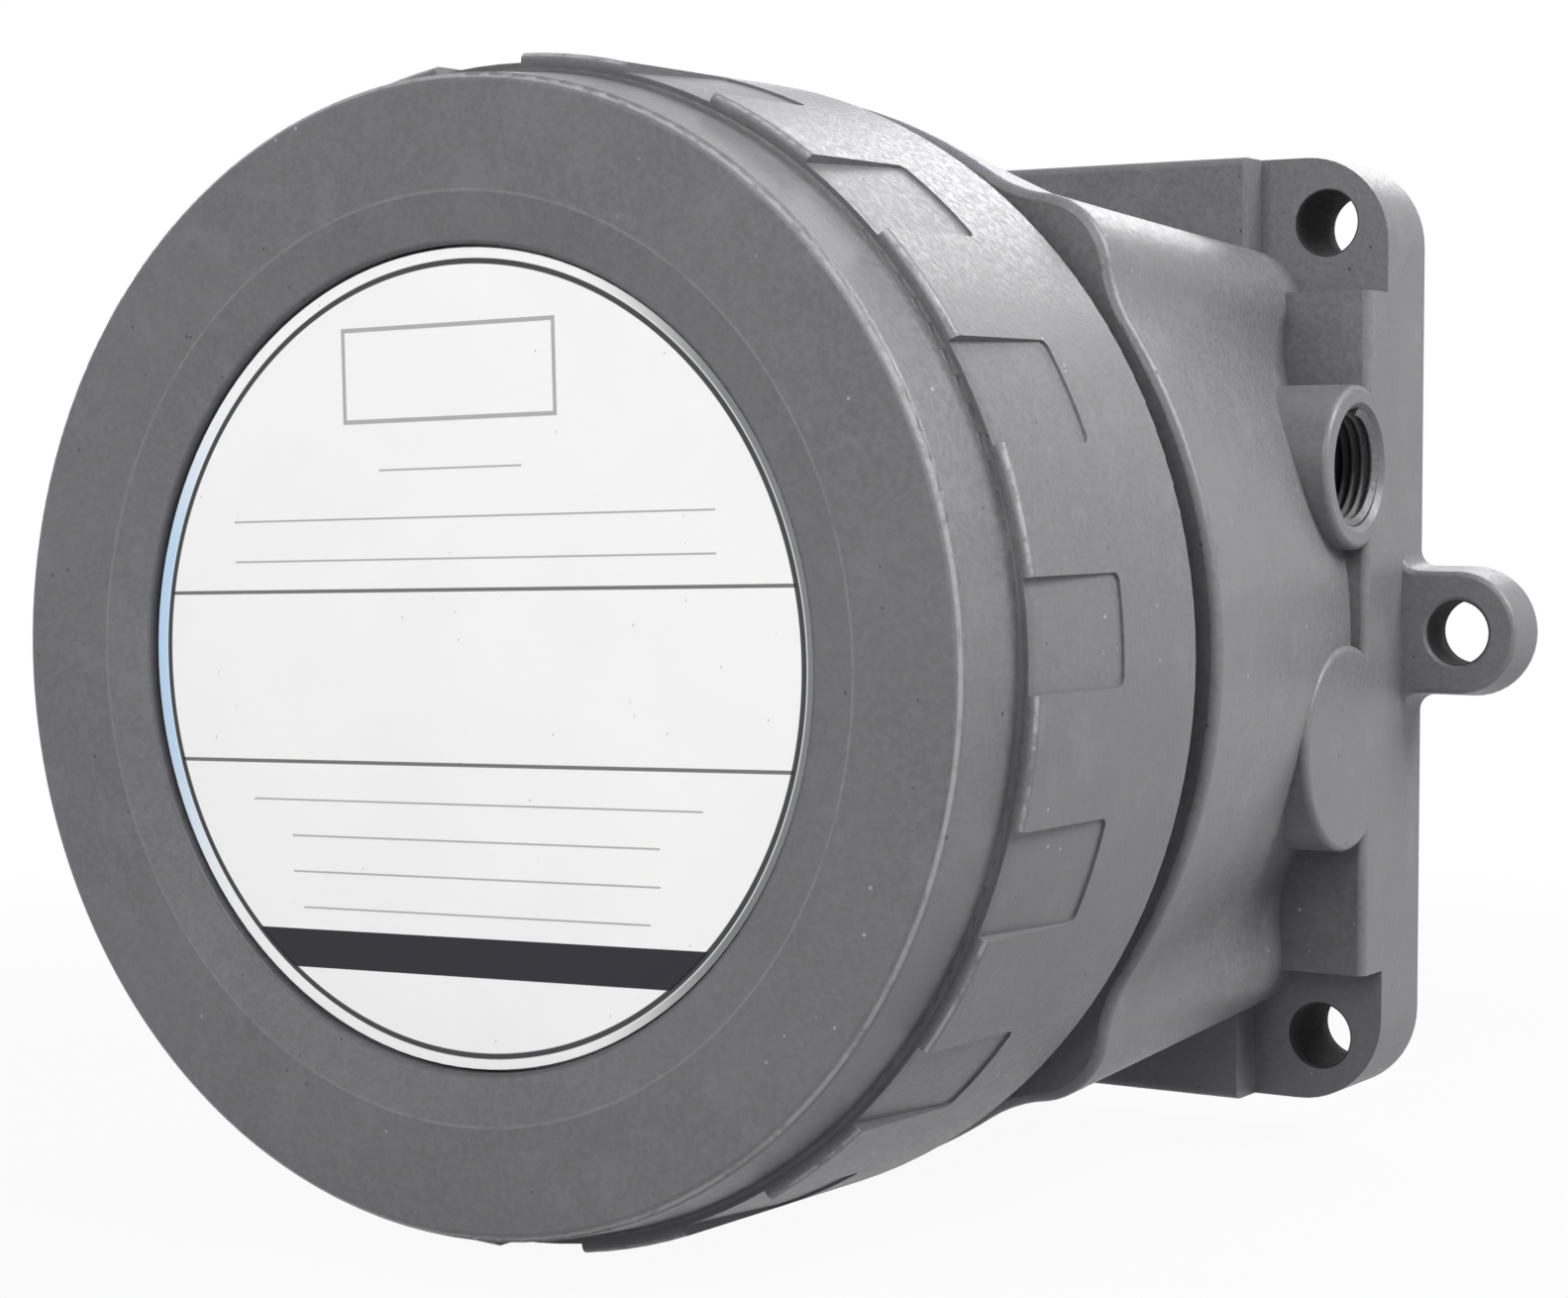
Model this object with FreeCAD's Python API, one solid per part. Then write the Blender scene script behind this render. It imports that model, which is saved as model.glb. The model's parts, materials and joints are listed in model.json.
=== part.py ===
import FreeCAD, Part
import math
import os

# Differential pressure switch in a cast round housing with a screwed cover.
# Millimetres. The axis of the cover lies along Y, the front faces -Y and +Z is up.
# The origin is on the axis at the centre of the flat back face, so "depth" values below
# are measured from the front ring of the cover towards the back.

V = FreeCAD.Vector

# Overall: the front of the cover, the foot and the depth lead the other sizes
depth = 181.5
land_front_r = 95.0
foot_half = 87.0
seat_gap = 0.3

# How far cutters and joined stubs reach past the surfaces that they open or meet
over = 1.0
far_over = 5.0

# Cover casting
land_taper = 0.7
step_height = 3.1
band_taper = 1.4
front_rim = 30.5
window_land = 2.0
cone_width = 8.0
cone_depth = 2.0
front_round = 1.6
step_depth = 14.5
skirt_end = 66.3
skirt_round = 1.2
skirt_wall = 6.6
notch_count = 16
notch_angle = 10.4
notch_phase = 3.4
notch_cut = 1.6
notch_end_cut = 0.8
notch_length = 26.8
notch_corner_r = 1.5
front_wall = 17.5
band_rear_r = land_front_r - step_height
front_edge_r = band_rear_r - band_taper
land_rear_r = land_front_r + land_taper
window_r = land_front_r - front_rim
cone_outer_r = window_r + cone_width
notch_front_r = land_front_r - notch_cut
notch_rear_r = land_rear_r - notch_end_cut
notch_end = step_depth + notch_length
skirt_bore_r = land_front_r - skirt_wall

# Window stack
glass_overhang = 5.0
glass_chamfer = 0.5
nameplate_thick = 0.8
nameplate_gap = 0.5
gasket_thick = 1.0
gasket_lap = 8.0
ring_lap = 10.0
ring_overhang = 10.0
ring_thick = 3.0
ring_screw_count = 6
ring_screw_r = 2.0
ring_screw_length = 9.0
glass_r = window_r + glass_overhang
glass_front = cone_depth + window_land
glass_back = front_wall - gasket_thick
ring_outer_r = glass_r + ring_overhang
ring_screw_pcd_r = (glass_r + seat_gap + ring_outer_r) / 2

# Neck, thread and O-ring
thread_gap = 0.4
neck_wall = 8.0
neck_front = 25.0
groove_width = 9.7
oring_wire_r = 1.5
oring_inset = 5.3
oring_squeeze_gap = 0.35
neck_r = skirt_bore_r - thread_gap
oring_depth = skirt_end - oring_inset
oring_r = neck_r + oring_squeeze_gap + oring_wire_r

# Housing body
body_front = skirt_end + groove_width
body_front_r = land_front_r
body_inset = 3.0
body_wall = 9.5
body_edge_round = 1.5
pillar_front_r = 14.0
pillar_rear_r = 12.0
pillar_front_sink = 8.7
pillar_rear_sink = 0.6
pillar_hollow_r = 25.0
back_wall = 13.5
body_rear_r = foot_half - body_inset
cavity_front_r = neck_r - neck_wall
cavity_rear_r = body_rear_r - body_wall
cavity_floor = depth - back_wall
cavity_round = 5.0

# Foot
foot_round = 16.0
foot_thick = 26.2
foot_corner_thick = 17.7
pad_size = 25.0
corner_hole_inset = 12.0
corner_hole_r = 6.0
foot_edge_round = 1.5
foot_front = depth - foot_thick
foot_corner_front = depth - foot_corner_thick
corner_pad = foot_half - pad_size
corner_hole_offset = foot_half - corner_hole_inset

# Ears
ear_reach = 10.6
ear_front_r = 11.2
ear_back_r = 12.0
ear_root_round = 3.0
ear_sink = 5.0
ear_hole_r = 5.8
ear_hole_chamfer = 0.8
ear_thick = 9.5
ear_edge_round = 1.0
ear_hole_x = foot_half + ear_reach
ear_front = depth - ear_thick

# Side bosses and ports
port_height = 30.0
port_z = 30.2
port_boss_r = 14.8
port_bore_r = 10.4
port_chamfer = 1.2
port_spot_r = 13.0
port_spot_depth = 1.0
blank_height = 34.0
blank_z = -20.0
blank_boss_r = 18.5
boss_edge_round = 1.2
pressure_bore_r = 5.6
pressure_bore_length = 11.0
port_depth = depth - port_height
blank_depth = depth - blank_height

# Chassis
chassis_gap = 4.5
chassis_thick = 2.0
post_edge = 3.5
post_r = 6.0
post_height = 10.0
post_root = 2.0
chassis_screw_r = 2.0
chassis_screw_length = 8.0
chassis_r = cavity_rear_r - chassis_gap
chassis_front = cavity_floor - post_height - chassis_thick
post_pcd_r = chassis_r - post_edge

# Diaphragm capsule
capsule_margin = 15.0
capsule_rear_depth = 16.0
capsule_front_depth = 16.0
diaphragm_thick = 0.5
capsule_flange_width = 8.0
capsule_wall = 4.0
capsule_draft = 6.0
capsule_floor = 3.0
capsule_flange = 4.0
capsule_screw_count = 8
capsule_screw_r = 1.5
diaphragm_dish = 3.0
diaphragm_flat_lap = 2.0
plate_thick = 1.5
plate_gap = 11.0
capsule_r = chassis_r - capsule_margin
capsule_split = chassis_front - capsule_rear_depth
capsule_front = capsule_split - capsule_front_depth
capsule_body_r = capsule_r - capsule_flange_width
capsule_cavity_r = capsule_body_r - capsule_wall
capsule_screw_pcd_r = (capsule_r + capsule_body_r) / 2
plate_r = capsule_cavity_r - plate_gap
diaphragm_flat_r = plate_r + diaphragm_flat_lap

# Push rod and actuator
rod_r = 2.5
rod_tail = 2.0
bush_r = 6.0
bush_flange = 2.5
bush_front_length = 4.5
bush_clearance = 0.05
actuator_gap = 16.0
actuator_thick = 2.0
actuator_r = 12.0
actuator_arm_width = 10.0
actuator_hub_r = 4.5
actuator_hub_length = 3.0
rod_nose = 3.0
stroke = 2.0
actuator_depth = capsule_front - actuator_gap - actuator_thick

# Range spring and set point screw
spring_length = 24.0
spring_r = 8.5
spring_wire_r = 0.9
spring_turns = 6
seat_cup_r = 11.0
seat_cup_thick = 2.0
seat_cup_rim = 2.0
seat_cup_wall = 1.2
seat_pilot_length = 4.0
spring_clearance = 0.4
screw_r = 4.0
screw_pin_r = 2.5
screw_pin_length = 4.0
screw_reach = 12.0
screw_head_r = 6.5
screw_head_height = 6.0
screw_slot = 1.6
screw_slot_depth = 2.5
screw_travel = 6.0
screw_head_gap = 2.0
screw_clearance = 0.08
spring_front = actuator_depth - spring_length

# Spring bridge
bridge_thick = 2.0
bridge_leg_gap = 3.0
bridge_width = 26.0
bridge_bend = 3.0
bridge_foot = 8.0
bridge_screw_r = 1.5
bridge_front = spring_front - seat_cup_thick - screw_reach - bridge_thick
bridge_half_span = capsule_r + bridge_leg_gap + bridge_thick

# Snap switch
switch_gap = 3.0
switch_length = 46.0
switch_width = 15.0
switch_height = 22.0
switch_round = 1.2
switch_z = 5.0
switch_hole_inset = 5.0
switch_hole_spacing = 22.0
plunger_inset = 18.0
plunger_r = 1.6
plunger_stand = 2.6
plunger_gap = 0.3
plunger_root = 4.0
plunger_clearance = 0.08
bracket_thick = 1.5
bracket_foot = 12.0
bracket_screw_inset = 6.0
bracket_web_side = 3.0
bracket_web_gap = 2.0
bracket_back_gap = 2.0
switch_screw_r = 1.4
tab_width = 4.8
tab_thick = 0.8
tab_length = 7.0
tab_root = 3.0
tab_inset = 6.0
tab_pitch = switch_length / 2 - tab_inset
switch_x = seat_cup_r + switch_gap
plunger_x = switch_x + plunger_inset
plunger_tip = actuator_depth - plunger_gap
switch_back = plunger_tip - plunger_stand
switch_front = switch_back - switch_height
bracket_z = switch_z + switch_width / 2
bracket_screw_x = bridge_width / 2 - bracket_screw_inset

# Terminal block and lead wires
terminal_length = 44.0
terminal_height = 16.0
terminal_deep = 14.0
terminal_wall = 1.6
terminal_well = 4.0
terminal_ways = 4
terminal_tab = 6.0
terminal_tab_thick = 4.0
terminal_tab_width = 10.0
terminal_inset = 22.0
terminal_screw_r = 1.5
terminal_screw_length = 5.0
wire_r = 0.9
wire_bend = 4.0
wire_drop = 4.0
terminal_z = bridge_half_span - terminal_inset

# Scale plate
scale_length = 44.0
scale_height = 20.0
scale_thick = 1.0
scale_corner = 2.0
scale_inset = 26.0
scale_screw_inset = 3.0
scale_z = scale_inset - bridge_half_span

# Pressure tubes and ground screw
tube_r = 3.0
tube_bore_r = 2.0
tube_bend = 6.5
tube_gap = 7.0
low_tube_height = 8.0
ground_angle = -22.0
ground_boss_r = 5.0
ground_screw_r = 2.0
ground_screw_length = 6.0
ground_washer = 0.8
ground_washer_r = 4.6
ground_clearance = 3.0
tube_start_x = -(foot_half - pressure_bore_length)
low_tube_depth = capsule_front + low_tube_height


def at(y):
    """Return the Y coordinate of a depth measured from the front ring."""
    return y - depth


def rounded_profile(points):
    """Make a face in the radius and Y plane from (radius, depth, corner rounding) points."""
    corners = [(V(r, at(y), 0), f) for r, y, f in points]
    starts = []
    ends = []
    edges = []
    count = len(corners)
    for i in range(count):
        here, f = corners[i]
        before = corners[i - 1][0]
        after = corners[(i + 1) % count][0]
        to_before = (before - here).normalize()
        to_after = (after - here).normalize()
        if f <= 0:
            starts.append(here)
            ends.append(here)
            continue
        half = to_before.getAngle(to_after) / 2
        reach = f / math.tan(half)
        starts.append(here + to_before * reach)
        ends.append(here + to_after * reach)
        middle = (to_before + to_after).normalize()
        centre = here + middle * (f / math.sin(half))
        edges.append((i, Part.Arc(starts[i], centre - middle * f, ends[i]).toShape()))
    arcs = dict(edges)
    loop = []
    for i in range(count):
        if i in arcs:
            loop.append(arcs[i])
        follow = (i + 1) % count
        if ends[i].distanceToPoint(starts[follow]) > 1e-6:
            loop.append(Part.LineSegment(ends[i], starts[follow]).toShape())
    return Part.Face(Part.Wire(loop))


def turned(points, angle=360.0):
    """Revolve a rounded profile about the Y axis."""
    return rounded_profile(points).revolve(V(0, 0, 0), V(0, 1, 0), angle)


def rod_y(r, y0, y1, x=0.0, z=0.0):
    """A cylinder along Y from one depth to another."""
    return Part.makeCylinder(r, y1 - y0, V(x, at(y0), z), V(0, 1, 0))


def rod_x(r, x0, x1, y, z):
    """A cylinder along X at a depth."""
    sign = 1.0 if x1 > x0 else -1.0
    return Part.makeCylinder(r, abs(x1 - x0), V(x0, at(y), z), V(sign, 0, 0))


def cone_x(r0, r1, x0, x1, y, z):
    """A cone frustum along X at a depth."""
    sign = 1.0 if x1 > x0 else -1.0
    return Part.makeCone(r0, r1, abs(x1 - x0), V(x0, at(y), z), V(sign, 0, 0))


def ring_y(outer, inner, y0, y1):
    """A plain ring along Y."""
    return rod_y(outer, y0, y1).cut(rod_y(inner, y0 - over, y1 + over))


def block(x0, x1, y0, y1, z0, z1):
    """A box from its limits, with Y given as depths."""
    return Part.makeBox(x1 - x0, y1 - y0, z1 - z0, V(x0, at(y0), z0))


def turn_about_y(shape, degrees):
    """Return a copy turned about the Y axis, positive from +X towards +Z."""
    copy = shape.copy()
    copy.rotate(V(0, 0, 0), V(0, -1, 0), degrees)
    return copy


def around(count, radius, phase=0.0):
    """Return the (x, z) places of equally spaced points on a circle."""
    step = 2 * math.pi / count
    first = math.radians(phase)
    return [(radius * math.cos(first + i * step), radius * math.sin(first + i * step)) for i in range(count)]


def corners_of(half):
    """Return the four (x, z) corners of a square."""
    return [(sx * half, sz * half) for sx in (-1, 1) for sz in (-1, 1)]


def square_wire(half, corner, y):
    """A rounded square loop at a depth."""
    inner = half - corner
    k = corner * math.sqrt(0.5)
    edges = []
    for i in range(4):
        turn = FreeCAD.Rotation(V(0, 1, 0), -90 * i)
        start = turn.multVec(V(half, 0, -inner))
        end = turn.multVec(V(half, 0, inner))
        middle = turn.multVec(V(inner + k, 0, inner + k))
        arc_end = turn.multVec(V(inner, 0, half))
        shift = V(0, at(y), 0)
        edges.append(Part.LineSegment(start + shift, end + shift).toShape())
        edges.append(Part.Arc(end + shift, middle + shift, arc_end + shift).toShape())
    return Part.Wire(edges)


def pan_screw(shank_r, length, y_head, x, z, head_ratio=1.9, head_height=1.2):
    """A slotted pan head screw that points to +Y, with its seat at a depth."""
    head_r = shank_r * head_ratio
    high = shank_r * head_height
    head = rod_y(head_r, y_head - high, y_head, x, z)
    rim = [e for e in head.Edges if abs(e.BoundBox.YMax - at(y_head - high)) < 1e-6]
    head = head.makeFillet(high * 0.35, rim[:1])
    slot_half = shank_r * 0.25
    slot = block(x - head_r - over, x + head_r + over, y_head - high - over, y_head - high * 0.55,
                 z - slot_half, z + slot_half)
    return head.cut(slot).fuse(rod_y(shank_r, y_head, y_head + length, x, z)).removeSplitter()


# Cover and window

def cover():
    """The screwed cover: front ring, window opening, notched skirt and threaded bore."""
    bore = skirt_bore_r
    groove_r = oring_r + oring_wire_r + seat_gap
    groove_half = oring_wire_r + seat_gap
    seat_r = glass_r + seat_gap
    body = turned([
        (window_r, cone_depth, 0.6), (cone_outer_r, 0, 1.5), (front_edge_r, 0, front_round),
        (band_rear_r, step_depth, 0.8), (land_front_r, step_depth, 1.2),
        (land_rear_r, skirt_end, skirt_round), (bore, skirt_end, 0.5),
        (bore, oring_depth + groove_half, 0), (groove_r, oring_depth + groove_half, 0),
        (groove_r, oring_depth - groove_half, 0), (bore, oring_depth - groove_half, 0),
        (bore, front_wall, 1.5), (seat_r, front_wall, 0), (seat_r, glass_front, 0),
        (window_r, glass_front, 0)])
    for i in range(notch_count):
        body = body.cut(notch_tool(notch_phase + i * 360.0 / notch_count))
    reach = ring_screw_length - ring_thick
    for x, z in around(ring_screw_count, ring_screw_pcd_r, 30):
        body = body.cut(rod_y(ring_screw_r, front_wall - reach, front_wall + over, x, z))
    return body


def notch_tool(centre_angle):
    """The cutter of one wrench notch, open to the front step and shallower at its rear end."""
    outer = land_rear_r + far_over
    start = step_depth - 4
    sector = turned([(notch_front_r, start, 0), (outer, start, 0), (outer, notch_end, 0),
                     (notch_rear_r, notch_end, 0), (notch_front_r, step_depth, 0)], notch_angle)
    ends = [e for e in sector.Edges if e.BoundBox.YLength < 0.01 and e.Length < outer - notch_front_r
            and abs(e.BoundBox.YMax - at(notch_end)) < 0.01]
    sector = sector.makeFillet(notch_corner_r, ends)
    return turn_about_y(sector, centre_angle + notch_angle / 2)


def window_glass():
    """Toughened glass disc behind the lip of the cover."""
    disc = rod_y(glass_r, glass_front, glass_back)
    return disc.makeChamfer(glass_chamfer, [e for e in disc.Edges if e.Curve.TypeId == "Part::GeomCircle"])


def nameplate():
    """Thin round plate bonded on the front of the glass, inside the lip."""
    return rod_y(window_r - nameplate_gap, glass_front - nameplate_thick, glass_front)


def window_gasket():
    """Flat ring between the glass and the retaining ring."""
    return ring_y(glass_r, glass_r - gasket_lap, glass_back, front_wall)


def window_retaining_ring():
    """Flat ring screwed to the inner face of the cover, over the gasket."""
    plate = ring_y(ring_outer_r, glass_r - ring_lap, front_wall, front_wall + ring_thick)
    for x, z in around(ring_screw_count, ring_screw_pcd_r, 30):
        plate = plate.cut(rod_y(ring_screw_r, front_wall - over, front_wall + ring_thick + over, x, z))
    return plate


def window_ring_screws():
    """Screws of the retaining ring, driven from the inside."""
    screws = []
    for x, z in around(ring_screw_count, ring_screw_pcd_r, 30):
        screw = pan_screw(ring_screw_r, ring_screw_length, 0, 0, 0)
        screw.rotate(V(0, at(0), 0), V(1, 0, 0), 180)
        screw.translate(V(x, front_wall + ring_thick, z))
        screws.append(screw)
    return Part.makeCompound(screws)


def cover_o_ring():
    """Round section ring in the groove of the cover bore."""
    return Part.makeTorus(oring_r, oring_wire_r, V(0, at(oring_depth), 0), V(0, 1, 0))


# Housing

def foot():
    """Square foot with rounded corners and four recessed corner pads."""
    plate = Part.Face(square_wire(foot_half, foot_round, foot_front)).extrude(V(0, foot_thick, 0))
    rims = [e for e in plate.Edges if e.BoundBox.YMax < at(foot_front) + 1e-6]
    plate = plate.makeFillet(foot_edge_round, rims)
    reach = foot_half + far_over
    for sx, sz in corners_of(1.0):
        low_x, high_x = sorted((sx * corner_pad, sx * reach))
        low_z, high_z = sorted((sz * corner_pad, sz * reach))
        plate = plate.cut(block(low_x, high_x, foot_front - far_over, foot_corner_front, low_z, high_z))
    return plate


def ear_outline(r, y):
    """The outline of the right ear at a depth, with hollow corners where it leaves the foot."""
    f = ear_root_round
    k = f * math.sqrt(0.5)
    root = foot_half - ear_sink
    start = foot_half + f
    shift = V(0, at(y), 0)
    upper = [V(root, 0, r + f), V(foot_half, 0, r + f), V(start - k, 0, r + f - k), V(start, 0, r),
             V(ear_hole_x, 0, r)]
    lower = [V(p.x, 0, -p.z) for p in upper]
    tip = V(ear_hole_x + r, 0, 0)
    edges = [Part.LineSegment(upper[0] + shift, upper[1] + shift),
             Part.Arc(upper[1] + shift, upper[2] + shift, upper[3] + shift),
             Part.LineSegment(upper[3] + shift, upper[4] + shift),
             Part.Arc(upper[4] + shift, tip + shift, lower[4] + shift),
             Part.LineSegment(lower[4] + shift, lower[3] + shift),
             Part.Arc(lower[3] + shift, lower[2] + shift, lower[1] + shift),
             Part.LineSegment(lower[1] + shift, lower[0] + shift),
             Part.LineSegment(lower[0] + shift, upper[0] + shift)]
    return Part.Wire([e.toShape() for e in edges])


def ear(side):
    """Flat ear with drafted edges at mid height, on one side."""
    lug = Part.makeLoft([ear_outline(ear_front_r, ear_front), ear_outline(ear_back_r, depth)], True, True)
    rim = [e for e in lug.Edges if e.BoundBox.YMax < at(ear_front) + 1e-6
           and e.BoundBox.XMin > foot_half - 0.1]
    lug = lug.makeFillet(ear_edge_round, rim)
    if side < 0:
        return lug.mirror(V(0, 0, 0), V(1, 0, 0))
    return lug


def body_outline(y):
    """The outline of the body at a depth: a circle that runs through hollows into four round pillars."""
    share = (y - body_front) / (foot_front - body_front)
    drum = body_front_r + (body_rear_r - body_front_r) * share
    pillar = pillar_front_r + (pillar_rear_r - pillar_front_r) * share
    sink = pillar_front_sink + (pillar_rear_sink - pillar_front_sink) * share
    to_hollow = drum + pillar_hollow_r
    to_pillar = drum - sink
    meet = pillar + pillar_hollow_r
    cosine = (to_hollow ** 2 + to_pillar ** 2 - meet ** 2) / (2 * to_hollow * to_pillar)
    angle = math.pi / 4 - math.acos(cosine)
    hollow_at = V(to_hollow * math.cos(angle), 0, to_hollow * math.sin(angle))
    pillar_at = V(to_pillar * math.sqrt(0.5), 0, to_pillar * math.sqrt(0.5))
    on_drum = hollow_at * (drum / to_hollow)
    on_pillar = pillar_at + (hollow_at - pillar_at) * (pillar / meet)
    inward = ((on_drum - hollow_at) + (on_pillar - hollow_at)).normalize()
    between = hollow_at + inward * pillar_hollow_r
    tip = pillar_at + V(1, 0, 1).normalize() * pillar
    corners = [(V(on_drum.x, 0, -on_drum.z), V(drum, 0, 0), on_drum), (on_drum, between, on_pillar),
               (on_pillar, tip, swapped(on_pillar)), (swapped(on_pillar), swapped(between), swapped(on_drum))]
    edges = []
    for i in range(4):
        turn = FreeCAD.Rotation(V(0, 1, 0), -90 * i)
        for arc in corners:
            start, middle, end = [turn.multVec(point) + V(0, at(y), 0) for point in arc]
            edges.append(Part.Arc(start, middle, end).toShape())
    return Part.Wire(edges)


def swapped(point):
    """Mirror a point about the diagonal between +X and +Z."""
    return V(point.z, 0, point.x)


def body_shell():
    """Tapered round drum with four corner pillars that end at the foot."""
    body = Part.makeLoft([body_outline(body_front), body_outline(foot_corner_front + over)], True, True)
    rim = [e for e in body.Edges if e.BoundBox.YMax < at(body_front) + 1e-6]
    return body.makeFillet(body_edge_round, rim)


def side_boss(side, r, y, z):
    """Round boss on a side of the body, level with the side of the foot."""
    head = rod_x(r, side * (cavity_rear_r - body_wall / 2), side * foot_half, y, z)
    rim = [e for e in head.Edges if e.BoundBox.XLength < 1e-6 and abs(e.BoundBox.XMin) > foot_half - 0.1]
    return head.makeFillet(boss_edge_round, rim)


def cavity():
    """The space inside the housing, open at the neck."""
    return turned([(0, neck_front - over, 0), (cavity_front_r, neck_front - over, 0),
                   (cavity_rear_r, cavity_floor, cavity_round), (0, cavity_floor, 0)])


def ground_place():
    """The (x, z) place of the ground screw, beside the capsule."""
    r = chassis_r - ground_boss_r
    angle = math.radians(ground_angle)
    return r * math.cos(angle), r * math.sin(angle)


def ports():
    """The threaded entries: one on the right side and two on the left side."""
    inner = cavity_rear_r - body_wall
    outer = foot_half + over
    seat = cavity_rear_r - port_spot_depth
    tools = rod_x(port_bore_r, inner, outer, port_depth, port_z)
    tools = tools.fuse(rod_x(port_spot_r, inner, seat, port_depth, port_z))
    tools = tools.fuse(cone_x(port_bore_r - over, port_bore_r + port_chamfer + over,
                              foot_half - port_chamfer - over,
                              outer, port_depth, port_z))
    for y, z in ((port_depth, port_z), (blank_depth, blank_z)):
        tools = tools.fuse(rod_x(pressure_bore_r, tube_start_x, -outer, y, z))
        tools = tools.fuse(rod_x(tube_r, -inner, -outer, y, z))
    return tools


def housing():
    """The cast housing: neck, body, foot, ears, bosses, ports and fixing holes."""
    neck = turned([(0, neck_front, 0), (neck_r, neck_front, 1.2), (neck_r, body_front + over, 0),
                   (0, body_front + over, 0)])
    cast = neck.fuse(body_shell()).fuse(foot())
    wide = 3 * foot_half
    back = Part.makeBox(2 * wide, wide, 2 * wide, V(-wide, 0, -wide))
    for side in (-1, 1):
        cast = cast.fuse(ear(side))
        cast = cast.fuse(side_boss(side, port_boss_r, port_depth, port_z))
        cast = cast.fuse(side_boss(side, blank_boss_r, blank_depth, blank_z))
    cast = cast.cut(back).cut(cavity())
    gx, gz = ground_place()
    post_front = chassis_front + chassis_thick
    for x, z in around(4, post_pcd_r, 45):
        cast = cast.fuse(rod_y(post_r, post_front, cavity_floor + post_root, x, z))
    cast = cast.fuse(rod_y(ground_boss_r, post_front, cavity_floor + post_root, gx, gz))
    for x, z in around(4, post_pcd_r, 45):
        cast = cast.cut(rod_y(chassis_screw_r, chassis_front, chassis_front + chassis_screw_length, x, z))
    cast = cast.cut(rod_y(ground_screw_r, post_front - over, post_front + ground_screw_length, gx, gz))
    for x, z in corners_of(corner_hole_offset):
        cast = cast.cut(rod_y(corner_hole_r, foot_corner_front - far_over, depth + far_over, x, z))
    for side in (-1, 1):
        cast = cast.cut(rod_y(ear_hole_r, ear_front - far_over, depth + far_over, side * ear_hole_x, 0))
        cast = cast.cut(Part.makeCone(ear_hole_r + ear_hole_chamfer + over, ear_hole_r - over,
                                      ear_hole_chamfer + 2 * over,
                                      V(side * ear_hole_x, at(ear_front) - over, 0), V(0, 1, 0)))
    return cast.cut(ports()).removeSplitter()


# Chassis and capsule

def chassis_plate():
    """Round steel plate on the four posts, which carries the capsule and the bridge."""
    back = chassis_front + chassis_thick
    plate = rod_y(chassis_r, chassis_front, back)
    for x, z in around(4, post_pcd_r, 45):
        plate = plate.cut(rod_y(chassis_screw_r, chassis_front - over, back + over, x, z))
    for x, z in bridge_screw_places():
        plate = plate.cut(rod_y(bridge_screw_r, chassis_front - over, back + over, x, z))
    gx, gz = ground_place()
    return plate.cut(rod_y(ground_boss_r + ground_clearance, chassis_front - over, back + over, gx, gz))


def chassis_screws():
    """Screws through the chassis plate into the posts."""
    return Part.makeCompound([pan_screw(chassis_screw_r, chassis_screw_length, chassis_front, x, z)
                              for x, z in around(4, post_pcd_r, 45)])


def capsule_rear_shell():
    """Rear cup of the capsule, on the high pressure side of the diaphragm."""
    rim = capsule_split + diaphragm_thick / 2
    floor = chassis_front - capsule_floor
    cup = turned([(0, floor, 0), (capsule_cavity_r - capsule_draft, floor, 3), (capsule_cavity_r, rim, 0),
                  (capsule_r, rim, 0), (capsule_r, rim + capsule_flange, 0.8),
                  (capsule_body_r, rim + capsule_flange, 1.5), (capsule_body_r, chassis_front, 1),
                  (0, chassis_front, 0)])
    cup = cup.cut(capsule_screw_holes())
    return cup.cut(rod_x(tube_r, -capsule_r, capsule_draft + capsule_wall - capsule_cavity_r,
                         port_depth, port_z))


def capsule_front_shell():
    """Front cup of the capsule, with the guide bush in its centre."""
    rim = capsule_split - diaphragm_thick / 2
    floor = capsule_front + capsule_floor
    cup = turned([(bush_r, floor, 0), (capsule_cavity_r - capsule_draft, floor, 3),
                  (capsule_cavity_r, rim, 0), (capsule_r, rim, 0), (capsule_r, rim - capsule_flange, 0.8),
                  (capsule_body_r, rim - capsule_flange, 1.5), (capsule_body_r, capsule_front, 1.5),
                  (bush_r, capsule_front, 0)])
    cup = cup.cut(capsule_screw_holes())
    return cup.cut(rod_x(tube_r, -capsule_r, -plate_r, low_tube_depth, blank_z))


def capsule_screw_places():
    """The (x, z) places of the clamp screws."""
    return around(capsule_screw_count, capsule_screw_pcd_r)


def capsule_screw_holes():
    """Holes of the clamp screws through both flanges."""
    return Part.makeCompound([rod_y(capsule_screw_r, capsule_front, chassis_front, x, z)
                              for x, z in capsule_screw_places()])


def capsule_screws():
    """Clamp screws through the two flanges."""
    seat = capsule_split - diaphragm_thick / 2 - capsule_flange
    length = 2 * capsule_flange + diaphragm_thick
    return Part.makeCompound([pan_screw(capsule_screw_r, length, seat, x, z, 1.75)
                              for x, z in capsule_screw_places()])


def diaphragm():
    """Flexible disc clamped at its rim, dished towards the front."""
    half = diaphragm_thick / 2
    front = capsule_split - half
    back = capsule_split + half
    dished = capsule_split - diaphragm_dish
    disc = turned([(rod_r, dished - half, 0), (diaphragm_flat_r, dished - half, 1),
                   (capsule_cavity_r - 1, front, 1), (capsule_r, front, 0), (capsule_r, back, 0),
                   (capsule_cavity_r - 1, back, 1), (diaphragm_flat_r, dished + half, 1),
                   (rod_r, dished + half, 0)])
    return disc.cut(capsule_screw_holes())


def diaphragm_rear_plate():
    """Support disc behind the diaphragm."""
    face = capsule_split - diaphragm_dish + diaphragm_thick / 2
    return turned([(rod_r, face, 0), (plate_r, face, 0.5), (plate_r, face + plate_thick, 0.5),
                   (rod_r, face + plate_thick, 0)])


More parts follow.
